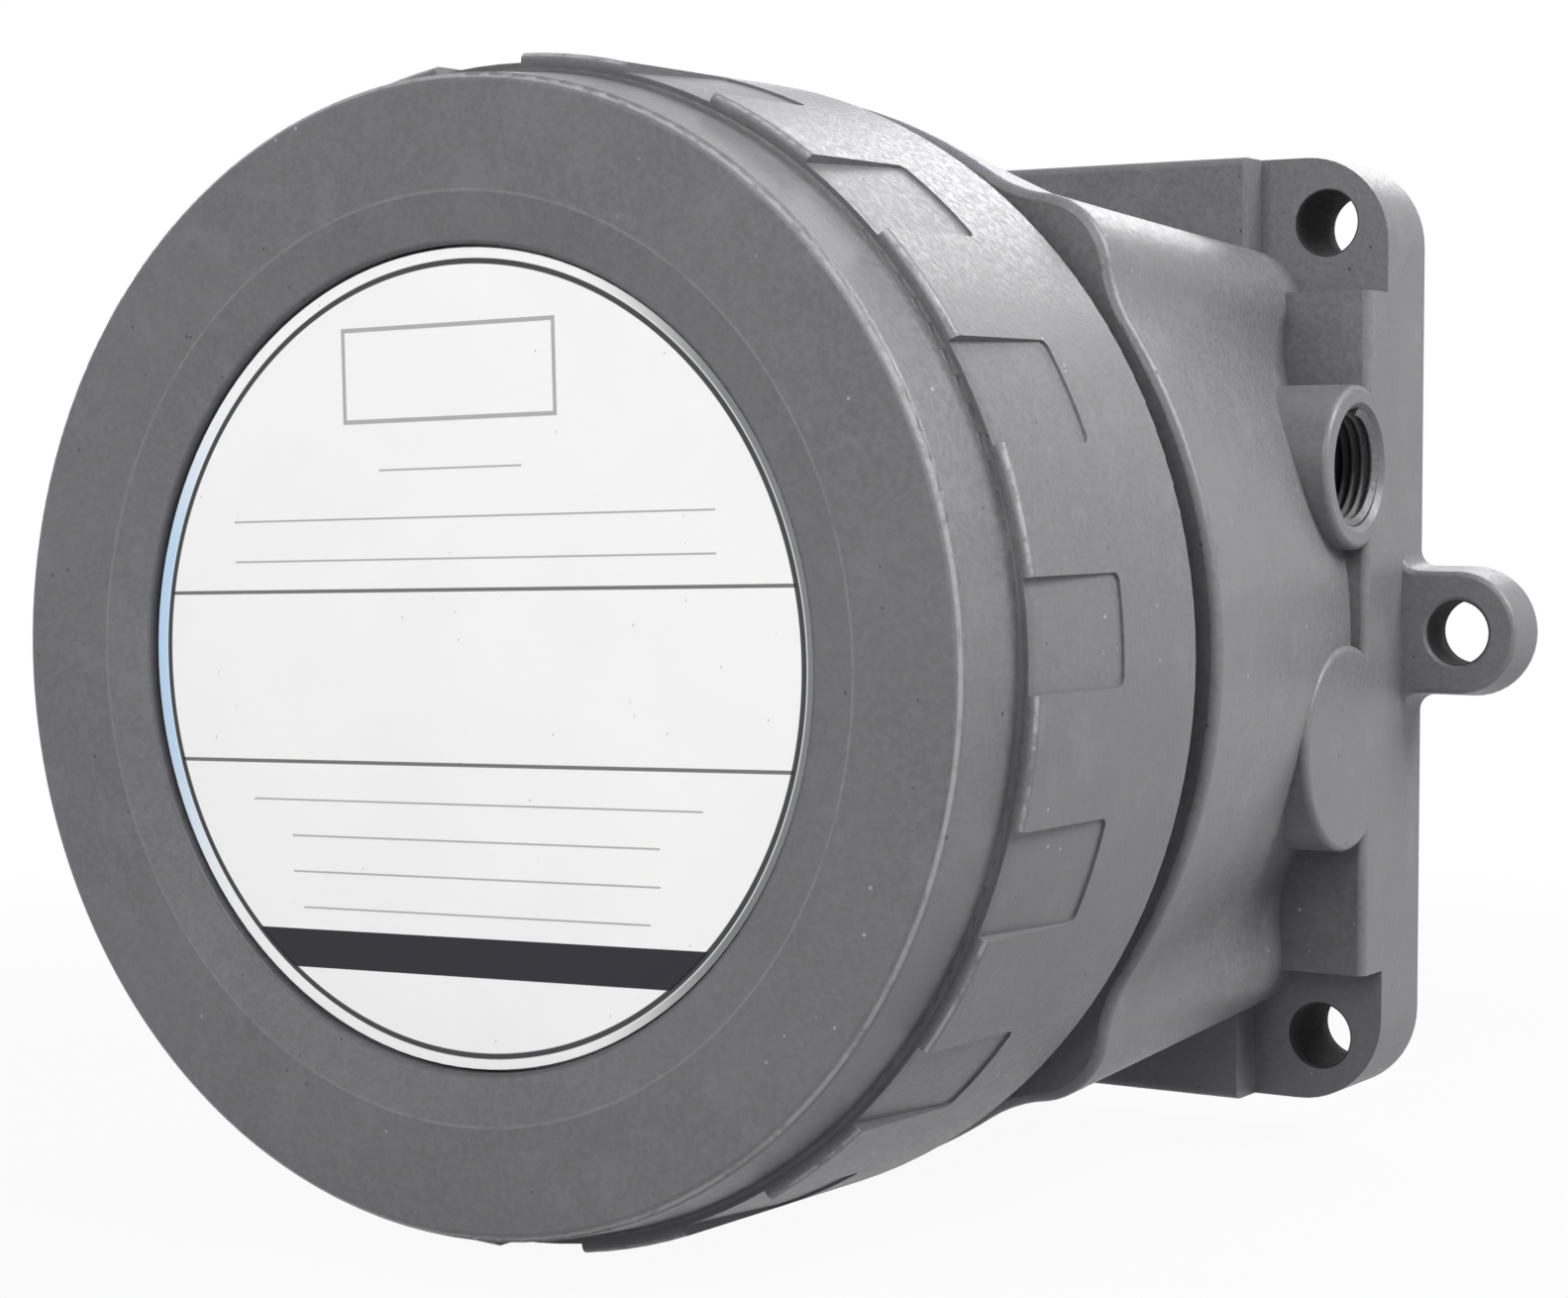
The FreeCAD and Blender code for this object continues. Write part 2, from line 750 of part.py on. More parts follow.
def diaphragm_front_plate():
    """Support disc in front of the diaphragm."""
    face = capsule_split - diaphragm_dish - diaphragm_thick / 2
    return turned([(rod_r, face - plate_thick, 0), (plate_r, face - plate_thick, 0.5), (plate_r, face, 0.5),
                   (rod_r, face, 0)])


def push_rod():
    """Rod from behind the diaphragm, through the bush and the actuator plate."""
    back = capsule_split - diaphragm_dish + diaphragm_thick / 2 + plate_thick + rod_tail
    front = actuator_depth - rod_nose
    return turned([(0, front, 0), (rod_r, front, 0.6), (rod_r, back, 0.4), (0, back, 0)])


def guide_bush():
    """Flanged bush in the front shell, in which the rod slides."""
    bore = rod_r + bush_clearance
    flange = bush_r + bush_flange
    front = capsule_front - bush_front_length
    back = capsule_front + capsule_floor
    return turned([(bore, front, 0), (flange, front, 0.5), (flange, capsule_front, 0),
                   (bush_r, capsule_front, 0), (bush_r, back, 0), (bore, back, 0)])


def actuator_plate():
    """Plate on the rod: rear seat of the range spring, with an arm that reaches the switch."""
    front = actuator_depth
    back = actuator_depth + actuator_thick
    plate = rod_y(actuator_r, front, back)
    half = actuator_arm_width / 2
    arm = block(0, plunger_x + half, front, back, switch_z - half, switch_z + half)
    tips = [e for e in arm.Edges if e.BoundBox.YLength > actuator_thick / 2 and e.CenterOfMass.x > plunger_x]
    plate = plate.fuse(arm.makeFillet(half * 0.6, tips))
    hub = rod_y(actuator_hub_r, back, back + actuator_hub_length)
    bore = rod_y(rod_r, front - over, back + actuator_hub_length + over)
    return plate.fuse(hub).cut(bore).removeSplitter()


# Range spring and set point screw

def range_spring():
    """Compression spring between the adjuster seat and the actuator plate."""
    front = spring_front + spring_wire_r
    back = actuator_depth - spring_wire_r
    pitch = (back - front) / spring_turns
    helix = Part.makeHelix(pitch, back - front, spring_r)
    section = Part.Wire(Part.makeCircle(spring_wire_r, V(spring_r, 0, 0), V(0, 1, 0)))
    coil = Part.Wire(helix.Edges).makePipeShell([section], True, True)
    coil.rotate(V(0, 0, 0), V(1, 0, 0), -90)
    coil.translate(V(0, at(front), 0))
    return coil


def adjuster_seat():
    """Cup that carries the front end of the spring and is pushed by the set point screw."""
    back = spring_front
    front = back - seat_cup_thick
    bore = screw_pin_r + screw_clearance
    rim_inner = seat_cup_r - seat_cup_wall
    pilot_r = spring_r - spring_wire_r - spring_clearance
    return turned([(bore, front, 0), (seat_cup_r, front, 0.5), (seat_cup_r, back + seat_cup_rim, 0.4),
                   (rim_inner, back + seat_cup_rim, 0.4), (rim_inner, back, 0),
                   (pilot_r, back, 0), (pilot_r, back + seat_pilot_length, 0.6),
                   (bore, back + seat_pilot_length, 0)])


def set_point_screw():
    """Slotted screw through the bridge whose pin turns in the adjuster seat."""
    seat = spring_front - seat_cup_thick
    head_back = bridge_front - screw_travel - screw_head_gap
    head_front = head_back - screw_head_height
    tip = seat + screw_pin_length
    screw = turned([(0, head_front, 0), (screw_head_r, head_front, 1), (screw_head_r, head_back, 0.5),
                    (screw_r, head_back, 0), (screw_r, seat, 0.4), (screw_pin_r, seat, 0),
                    (screw_pin_r, tip, 0.3), (0, tip, 0)])
    reach = screw_head_r + over
    half = screw_slot / 2
    return screw.cut(block(-reach, reach, head_front - over, head_front + screw_slot_depth, -half, half))


def bridge_screw_places():
    """Places of the screws through the feet of the bridge."""
    z = bridge_half_span + bridge_foot / 2
    return [(x, s * z) for s in (-1, 1) for x in (-bridge_width / 4, bridge_width / 4)]


def spring_bridge():
    """Folded strip that stands over the capsule and carries the set point screw."""
    t = bridge_thick
    half = bridge_half_span
    foot_end = half + bridge_foot
    front = bridge_front
    back = chassis_front
    outline = [(-foot_end, back), (-foot_end, back - t), (-half, back - t), (-half, front), (half, front),
               (half, back - t), (foot_end, back - t), (foot_end, back), (half - t, back),
               (half - t, front + t), (-half + t, front + t), (-half + t, back)]
    points = [V(-bridge_width / 2, at(y), z) for z, y in outline]
    strip = Part.Face(Part.makePolygon(points + points[:1])).extrude(V(bridge_width, 0, 0))
    for z, y, bend in ((half, front, bridge_bend), (half - t, front + t, bridge_bend - t)):
        folds = [e for e in strip.Edges if e.BoundBox.XLength > bridge_width / 2
                 and abs(e.CenterOfMass.y - at(y)) < 0.01 and abs(abs(e.CenterOfMass.z) - z) < 0.01]
        strip = strip.makeFillet(bend, folds)
    strip = strip.cut(rod_y(screw_r + screw_clearance, front - over, front + t + over))
    for x, z in bridge_screw_places():
        strip = strip.cut(rod_y(bridge_screw_r, back - t - over, back + over, x, z))
    for x, z in bracket_screw_places() + terminal_mount_places() + scale_screw_places():
        strip = strip.cut(rod_y(bridge_screw_r, front - over, front + t + over, x, z))
    return strip


def bridge_screws():
    """Screws through the feet of the bridge into the chassis plate."""
    seat = chassis_front - bridge_thick
    return Part.makeCompound([pan_screw(bridge_screw_r, bridge_thick + chassis_thick, seat, x, z, 1.8)
                              for x, z in bridge_screw_places()])


# Snap switch

def switch_hole_places():
    """The (x, depth) places of the two holes through the switch."""
    middle = switch_x + switch_length / 2
    y = switch_front + switch_hole_inset
    return [(middle - switch_hole_spacing / 2, y), (middle + switch_hole_spacing / 2, y)]


def switch_tab_places():
    """The x places of the three terminals of the switch."""
    return [switch_x + tab_inset + i * tab_pitch for i in range(3)]


def rod_z(r, z0, z1, x, y):
    """A cylinder along Z from one height to another, at a depth."""
    return Part.makeCylinder(r, z1 - z0, V(x, at(y), z0), V(0, 0, 1))


def snap_switch_body():
    """Moulded case of the snap switch with its three terminals."""
    half = switch_width / 2
    case = block(switch_x, switch_x + switch_length, switch_front, switch_back,
                 switch_z - half, switch_z + half)
    case = case.makeFillet(switch_round, case.Edges)
    case = case.cut(rod_y(plunger_r + plunger_clearance, switch_back - plunger_root - stroke,
                          switch_back + over, plunger_x, switch_z))
    for x, y in switch_hole_places():
        case = case.cut(rod_z(switch_screw_r, switch_z - half - over, switch_z + half + over, x, y))
    for x in switch_tab_places():
        case = case.fuse(block(x - tab_width / 2, x + tab_width / 2,
                               switch_front - tab_length, switch_front + tab_root,
                               switch_z - tab_thick / 2, switch_z + tab_thick / 2))
    return case.removeSplitter()


def switch_plunger():
    """Small round button that the actuator plate presses."""
    shape = rod_y(plunger_r, switch_back - plunger_root + stroke, plunger_tip, plunger_x, switch_z)
    rim = [e for e in shape.Edges if e.BoundBox.YMin > at(plunger_tip) - 1e-6]
    return shape.makeFillet(plunger_r * 0.45, rim)


def bracket_screw_places():
    """Places of the screws that hold the switch bracket to the bridge."""
    z = bracket_z + bracket_thick + bracket_foot / 2
    return [(-bracket_screw_x, z), (bracket_screw_x, z)]


def switch_bracket():
    """Folded angle that holds the switch beside the spring."""
    t = bracket_thick
    low = bracket_z
    front = bridge_front + bridge_thick
    back = switch_back - bracket_back_gap
    end = switch_x + switch_length
    half = bridge_width / 2
    web = block(-half, end, front, back, low, low + t)
    web = web.cut(block(half + bracket_web_side, end + over, front - over, switch_front - bracket_web_gap,
                        low - over, low + t + over))
    angle = web.fuse(block(-half, half, front, front + t, low, low + bracket_foot)).removeSplitter()
    for x, y in switch_hole_places():
        angle = angle.cut(rod_z(switch_screw_r, low - over, low + t + over, x, y))
    for x, z in bracket_screw_places():
        angle = angle.cut(rod_y(bridge_screw_r, front - over, front + t + over, x, z))
    return angle


def switch_screws():
    """Screws through the switch into its bracket."""
    screws = []
    for x, y in switch_hole_places():
        screw = pan_screw(switch_screw_r, switch_width + bracket_thick, 0, 0, 0, 1.8)
        screw.rotate(V(0, at(0), 0), V(1, 0, 0), 90)
        screw.translate(V(x, y, switch_z - switch_width / 2))
        screws.append(screw)
    return Part.makeCompound(screws)


def bracket_screws():
    """Screws from the bracket into the bridge."""
    screws = []
    for x, z in bracket_screw_places():
        screw = pan_screw(bridge_screw_r, bracket_thick + bridge_thick, 0, 0, 0, 1.8)
        screw.rotate(V(0, at(0), 0), V(1, 0, 0), 180)
        screw.translate(V(x, bridge_front + bridge_thick + bracket_thick, z))
        screws.append(screw)
    return Part.makeCompound(screws)


# Terminals, lead wires and scale

def terminal_mount_places():
    """Places of the two screws that hold the terminal block."""
    reach = terminal_height / 2 + terminal_tab / 2
    return [(0.0, terminal_z - reach), (0.0, terminal_z + reach)]


def terminal_ways_x():
    """The x places of the ways of the terminal block."""
    pitch = terminal_length / terminal_ways
    return [-terminal_length / 2 + pitch * (i + 0.5) for i in range(terminal_ways)]


def terminal_places():
    """The (x, z) places of the clamp screws, two rows."""
    row = terminal_height / 4
    return [(x, terminal_z + s * row) for x in terminal_ways_x() for s in (-1, 1)]


def terminal_block():
    """Moulded strip with raised walls between its ways."""
    back = bridge_front
    front = back - terminal_deep
    low = terminal_z - terminal_height / 2
    high = terminal_z + terminal_height / 2
    half = terminal_length / 2
    strip = block(-half, half, front + terminal_well, back, low, high)
    tab = terminal_tab_width / 2
    strip = strip.fuse(block(-tab, tab, back - terminal_tab_thick, back,
                             low - terminal_tab, high + terminal_tab))
    pitch = terminal_length / terminal_ways
    for i in range(terminal_ways + 1):
        x = -half + i * pitch
        left = max(x - terminal_wall / 2, -half)
        right = min(x + terminal_wall / 2, half)
        strip = strip.fuse(block(left, right, front, front + terminal_well + over, low, high))
    seat = front + terminal_well
    for x, z in terminal_places():
        strip = strip.cut(rod_y(terminal_screw_r, seat - over, seat + terminal_screw_length, x, z))
    for x, z in terminal_mount_places():
        strip = strip.cut(rod_y(bridge_screw_r, back - terminal_tab_thick - over, back + over, x, z))
    return strip.removeSplitter()


def terminal_screws():
    """Clamp screws of the terminals."""
    seat = bridge_front - terminal_deep + terminal_well
    return Part.makeCompound([pan_screw(terminal_screw_r, terminal_screw_length, seat, x, z, 1.6)
                              for x, z in terminal_places()])


def terminal_block_screws():
    """Screws through the tabs of the terminal block into the bridge."""
    seat = bridge_front - terminal_tab_thick
    return Part.makeCompound([pan_screw(bridge_screw_r, terminal_tab_thick + bridge_thick, seat, x, z, 1.8)
                              for x, z in terminal_mount_places()])


def lead_wires():
    """Insulated wires from the terminals of the switch to the terminal block."""
    wires = []
    level = bridge_front - terminal_deep / 2
    low = terminal_z - terminal_height / 2
    for start_x, end_x in zip(switch_tab_places(), terminal_ways_x()[1:]):
        points = [V(start_x, at(switch_front - tab_length), switch_z), V(start_x, at(level), switch_z),
                  V(end_x, at(level), low - wire_drop), V(end_x, at(level), low)]
        section = Part.Wire(Part.makeCircle(wire_r, points[0], V(0, 1, 0)))
        wires.append(bent_path(points, wire_bend).makePipeShell([section], True, False))
    return Part.makeCompound(wires)


def scale_screw_places():
    """Places of the screws that hold the scale plate."""
    reach = scale_height / 2 - scale_screw_inset
    return [(0.0, scale_z - reach), (0.0, scale_z + reach)]


def scale_plate():
    """Small plate beside the set point screw."""
    plate = block(-scale_length / 2, scale_length / 2, bridge_front - scale_thick, bridge_front,
                  scale_z - scale_height / 2, scale_z + scale_height / 2)
    posts = [e for e in plate.Edges if e.BoundBox.YLength > scale_thick / 2]
    plate = plate.makeFillet(scale_corner, posts)
    for x, z in scale_screw_places():
        plate = plate.cut(rod_y(bridge_screw_r, bridge_front - scale_thick - over, bridge_front + over, x, z))
    return plate


def scale_screws():
    """Screws of the scale plate."""
    seat = bridge_front - scale_thick
    return Part.makeCompound([pan_screw(bridge_screw_r, scale_thick + bridge_thick, seat, x, z, 1.8)
                              for x, z in scale_screw_places()])


# Pressure tubes and ground screw

def high_pressure_tube():
    """Straight tube from the upper left port to the rear shell."""
    end = capsule_wall - capsule_cavity_r
    tube = rod_x(tube_r, tube_start_x, end, port_depth, port_z)
    return tube.cut(rod_x(tube_bore_r, tube_start_x - over, end + over, port_depth, port_z))


def low_pressure_tube():
    """Bent tube from the lower left port to the front shell."""
    bend_x = -(capsule_r + tube_gap)
    end = -capsule_cavity_r - capsule_wall / 4
    points = [V(tube_start_x, at(blank_depth), blank_z), V(bend_x, at(blank_depth), blank_z),
              V(bend_x, at(low_tube_depth), blank_z), V(end, at(low_tube_depth), blank_z)]
    path = bent_path(points, tube_bend)
    solids = []
    for r in (tube_r, tube_bore_r):
        section = Part.Wire(Part.makeCircle(r, points[0], V(1, 0, 0)))
        solids.append(path.makePipeShell([section], True, False))
    return solids[0].cut(solids[1])


def bent_path(points, bend):
    """Straight runs joined by tangent arcs of one radius."""
    edges = []
    start = points[0]
    for i in range(1, len(points) - 1):
        here = points[i]
        back = (points[i - 1] - here).normalize()
        ahead = (points[i + 1] - here).normalize()
        half = back.getAngle(ahead) / 2
        reach = bend / math.tan(half)
        inward = (back + ahead).normalize()
        middle = here + inward * (bend / math.sin(half) - bend)
        edges.append(Part.LineSegment(start, here + back * reach).toShape())
        edges.append(Part.Arc(here + back * reach, middle, here + ahead * reach).toShape())
        start = here + ahead * reach
    edges.append(Part.LineSegment(start, points[-1]).toShape())
    return Part.Wire(edges)


def ground_screw():
    """Earthing screw with its washer, on a boss beside the capsule."""
    x, z = ground_place()
    seat = chassis_front + chassis_thick
    screw = pan_screw(ground_screw_r, ground_screw_length + ground_washer, seat - ground_washer, x, z)
    washer = ring_y(ground_washer_r, ground_screw_r, seat - ground_washer, seat)
    washer.translate(V(x, 0, z))
    return screw.fuse(washer)


MAKERS = [
    housing, cover, window_glass, nameplate, window_gasket, window_retaining_ring, window_ring_screws,
    cover_o_ring, chassis_plate, chassis_screws, capsule_rear_shell, capsule_front_shell,
    capsule_screws, diaphragm, diaphragm_rear_plate, diaphragm_front_plate, push_rod, guide_bush,
    actuator_plate, range_spring, adjuster_seat, set_point_screw, spring_bridge, bridge_screws,
    snap_switch_body, switch_plunger, switch_bracket, switch_screws, bracket_screws, terminal_block,
    terminal_screws, terminal_block_screws, lead_wires, scale_plate, scale_screws,
    high_pressure_tube, low_pressure_tube, ground_screw]

os.makedirs("parts", exist_ok=True)
for make in MAKERS:
    make().exportStep("parts/" + make.__name__ + ".step")
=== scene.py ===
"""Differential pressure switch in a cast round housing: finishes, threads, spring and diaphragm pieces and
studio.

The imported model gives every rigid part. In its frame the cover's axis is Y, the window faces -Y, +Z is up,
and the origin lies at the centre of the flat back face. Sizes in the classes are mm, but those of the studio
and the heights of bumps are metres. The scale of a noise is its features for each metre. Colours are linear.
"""
import json
import logging
import math
from dataclasses import dataclass
from enum import Enum
from typing import Any, ClassVar, Optional, Protocol, Sequence

import bmesh
import bpy
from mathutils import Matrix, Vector


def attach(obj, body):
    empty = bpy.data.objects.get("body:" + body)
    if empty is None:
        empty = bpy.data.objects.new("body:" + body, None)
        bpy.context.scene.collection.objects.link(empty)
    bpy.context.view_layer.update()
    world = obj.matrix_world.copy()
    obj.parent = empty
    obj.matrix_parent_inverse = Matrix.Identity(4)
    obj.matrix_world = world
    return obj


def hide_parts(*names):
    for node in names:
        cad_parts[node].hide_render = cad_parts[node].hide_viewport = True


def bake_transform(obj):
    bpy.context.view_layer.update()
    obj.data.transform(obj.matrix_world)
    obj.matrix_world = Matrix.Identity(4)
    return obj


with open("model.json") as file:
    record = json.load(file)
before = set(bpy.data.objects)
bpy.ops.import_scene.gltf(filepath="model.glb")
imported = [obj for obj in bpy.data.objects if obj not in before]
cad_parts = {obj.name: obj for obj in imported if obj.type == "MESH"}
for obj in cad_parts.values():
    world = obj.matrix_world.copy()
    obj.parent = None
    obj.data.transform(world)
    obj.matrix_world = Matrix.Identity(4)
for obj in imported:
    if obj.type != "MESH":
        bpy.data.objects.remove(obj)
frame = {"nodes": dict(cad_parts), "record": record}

logging.basicConfig(level=logging.INFO, format="%(message)s")
log = logging.getLogger("pressure_switch")

Colour = tuple[float, float, float]
Triple = tuple[float, float, float]
Pair = tuple[float, float]

MM = 0.001
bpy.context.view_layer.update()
WHITE: Colour = (1.0, 1.0, 1.0)
# How far the cover's front ring stands in front of the flat back face
FRONT_DEPTH = 181.5
# The conduit port on the right side: Y and Z of its axis, and the radius of its bore
CONDUIT = (-30.0, 30.2)
CONDUIT_R = 10.4


def at(depth: float) -> float:
    """Return the Y coordinate in metres of a depth in mm behind the cover's front ring."""
    return (depth - FRONT_DEPTH) * MM


class Link:
    """A shader socket whose arithmetic adds Math nodes."""

    def __init__(self, graph: "Graph", socket: bpy.types.NodeSocket) -> None:
        """Keep the graph and its output socket."""
        self.graph = graph
        self.socket = socket

    def _math(self, operation: str, *values: Any) -> "Link":
        """Add a Math node.

        Args:
            operation: What the node works out.
            values: Its inputs, numbers or links.

        Returns:
            The link to its result.
        """
        return self.graph.node("ShaderNodeMath", {"operation": operation}, dict(enumerate(values)))[0]

    def __add__(self, other: Any) -> "Link":
        """Return the sum."""
        return self._math("ADD", self, other)

    def __sub__(self, other: Any) -> "Link":
        """Return the difference."""
        return self._math("SUBTRACT", self, other)

    def __rsub__(self, other: Any) -> "Link":
        """Return the difference."""
        return self._math("SUBTRACT", other, self)

    def __mul__(self, other: Any) -> "Link":
        """Return the product."""
        return self._math("MULTIPLY", self, other)

    def __abs__(self) -> "Link":
        """Return the size without its sign."""
        return self._math("ABSOLUTE", self)

    def least(self, other: Any) -> "Link":
        """Return the smaller of two values."""
        return self._math("MINIMUM", self, other)

    def most(self, other: Any) -> "Link":
        """Return the larger of two values."""
        return self._math("MAXIMUM", self, other)

    def root(self) -> "Link":
        """Return the square root."""
        return self._math("SQRT", self)

    def wave(self) -> "Link":
        """Return the sine, from -1 to 1."""
        return self._math("SINE", self)

    def off_mark(self, step: float) -> "Link":
        """Return the distance to the nearest of marks that are a step apart."""
        return abs(self._math("FLOORED_MODULO", self + step / 2, step) - step / 2)

    def ramp(self, low: float, high: float, out_low: float = 0.0, out_high: float = 1.0) -> "Link":
        """Map one range smoothly and clamped onto another.

        Args:
            low: Value that gives out_low.
            high: Value that gives out_high.
            out_low: Result at low.
            out_high: Result at high.

        Returns:
            The link to the mapped value.
        """
        settings = {"interpolation_type": "SMOOTHSTEP", "clamp": True}
        return self.graph.node("ShaderNodeMapRange", settings,
                               {0: self, 1: low, 2: high, 3: out_low, 4: out_high})[0]


def largest(values: Sequence[Link]) -> Link:
    """Find the largest of several values.

    Args:
        values: One or more links.

    Returns:
        The link to the largest.
    """
    found = values[0]
    for value in values[1:]:
        found = found.most(value)
    return found


class Graph:
    """A node tree and the one method that adds nodes to it."""

    def __init__(self, tree: bpy.types.NodeTree) -> None:
        """Keep the tree and empty it."""
        self.tree = tree
        tree.nodes.clear()

    def node(self, kind: str, settings: Optional[dict[str, Any]] = None,
             inputs: Optional[dict[Any, Any]] = None) -> list[Link]:
        """Add any node.

        Args:
            kind: The node's type.
            settings: Its attributes, which are set first.
            inputs: Numbers, colours, vectors or links by socket name or number.

        Returns:
            A link for each of its outputs.
        """
        made = self.tree.nodes.new(kind)
        for key, value in (settings or {}).items():
            setattr(made, key, value)
        for key, value in (inputs or {}).items():
            self.feed(made.inputs[key], value)
        return [Link(self, socket) for socket in made.outputs]

    def feed(self, socket: bpy.types.NodeSocket, value: Any) -> None:
        """Link a socket, or set its own value.

        Args:
            socket: Input socket of a node.
            value: A link, a number, or a colour or vector as a tuple.
        """
        if isinstance(value, Link):
            self.tree.links.new(value.socket, socket)
        elif isinstance(value, tuple) and socket.type == "RGBA":
            socket.default_value = (*value, 1.0)
        else:
            socket.default_value = value

    def looks_at_backdrop(self) -> Link:
        """Tell the rays that are to meet plain white.

        Returns:
            The link to 1 for camera, glossy and transmission rays, and 0 for others.
        """
        rays = self.node("ShaderNodeLightPath")
        wanted = ("Is Camera Ray", "Is Glossy Ray", "Is Transmission Ray")
        return largest([link for link in rays if link.socket.name in wanted])


class Shader(Graph):
    """A material with one Principled shader and helpers to feed it."""

    def __init__(self, name: str) -> None:
        """Start a material that has only its Principled shader.

        Args:
            name: Name of the material.
        """
        self.material = bpy.data.materials.new(name)
        self.material.use_nodes = True
        super().__init__(self.material.node_tree)
        self.surface = self.node("ShaderNodeBsdfPrincipled")[0]
        self.principled = self.surface.socket.node
        self.node("ShaderNodeOutputMaterial", None, {"Surface": self.surface})

    def set(self, **values: Any) -> bpy.types.Material:
        """Set sockets of the Principled shader; underscores stand for spaces.

        Args:
            values: Numbers, colours or links by socket name.

        Returns:
            The material.
        """
        for key, value in values.items():
            self.feed(self.principled.inputs[key.replace("_", " ")], value)
        return self.material

    def place(self) -> Link:
        """Return the object coordinates in metres."""
        return self.node("ShaderNodeTexCoord")[3]

    def split(self, vector: Link) -> list[Link]:
        """Return the three numbers of a vector."""
        return self.node("ShaderNodeSeparateXYZ", None, {0: vector})

    def join(self, x: Any, y: Any, z: Any) -> Link:
        """Return the vector of three numbers."""
        return self.node("ShaderNodeCombineXYZ", None, {0: x, 1: y, 2: z})[0]

    def from_axis(self, where: Link) -> Link:
        """Return the distance in metres to the cover's axis."""
        x, _, z = self.split(where)
        return (x * x + z * z).root()

    def from_ring(self, where: Link, radius: float, depth: float) -> Link:
        """Return the distance in metres to a ring about the cover's axis.

        Args:
            where: Object coordinates.
            radius: Radius of the ring in mm.
            depth: Its depth in mm behind the cover's front ring.

        Returns:
            The link to the distance.
        """
        out = self.from_axis(where) - radius * MM
        along = self.split(where)[1] - at(depth)
        return (out * out + along * along).root()

    def noise(self, where: Link, scale: float, detail: float = 3.0, rough: float = 0.55) -> Link:
        """Return a noise value around 0.5.

        Args:
            where: Coordinates.
            scale: Features for each metre.
            detail: Finer layers that are added.
            rough: How strong the finer layers are.

        Returns:
            The link to the value.
        """
        return self.node("ShaderNodeTexNoise", {"noise_dimensions": "3D"},
                         {"Vector": where, "Scale": scale, "Detail": detail, "Roughness": rough})[0]

    def stretched(self, where: Link, scale: Triple) -> Link:
        """Return coordinates that are scaled on each axis."""
        return self.node("ShaderNodeVectorMath", {"operation": "MULTIPLY"}, {0: where, 1: scale})[0]

    def cells(self, where: Link, scale: float) -> Link:
        """Return the distance to the nearest of scattered points."""
        return self.node("ShaderNodeTexVoronoi", {"feature": "F1"},
                         {"Vector": where, "Scale": scale, "Randomness": 1.0})[0]

    def mix(self, share: Any, low: Any, high: Any) -> Link:
        """Mix two colours.

        Args:
            share: How much of the second colour shows.
            low: First colour, a tuple or link.
            high: Second colour, a tuple or link.

        Returns:
            The link to the mixed colour.
        """
        return self.node("ShaderNodeMix", {"data_type": "RGBA"}, {0: share, 6: low, 7: high})[2]

    def bump(self, height: Link, strength: float, distance: float) -> Link:
        """Return the normal of a surface whose height in metres is height times distance."""
        return self.node("ShaderNodeBump", None,
                         {"Height": height, "Strength": strength, "Distance": distance})[0]


class Finish(Protocol):
    """Anything that can make a material."""

    def make(self) -> bpy.types.Material:
        """Return the new material."""


@dataclass(frozen=True)
class RubAndHighlight:
    """A ring about the cover's axis where handling has worn an edge, also painted lighter as an edge
    highlight.
    """

    radius: float
    depth: float
    width: float
    evenness: float
    strength: float


@dataclass(frozen=True)
class DirtAndShade:
    """A ring about the cover's axis where a corner darkens with soiling and with painted shade."""

    radius: float
    depth: float
    width: float
    strength: float


class Axis(Enum):
    """The axis along which a bore runs."""

    X = "to the sides"
    Y = "front to back"


@dataclass(frozen=True)
class Bore:
    """A hole whose wall turns rougher, and darker with painted shade, from its mouth on, over the length of
    its fade.
    """

    axis: Axis
    across: float
    up: float
    radius: float
    mouth: float
    fade: float


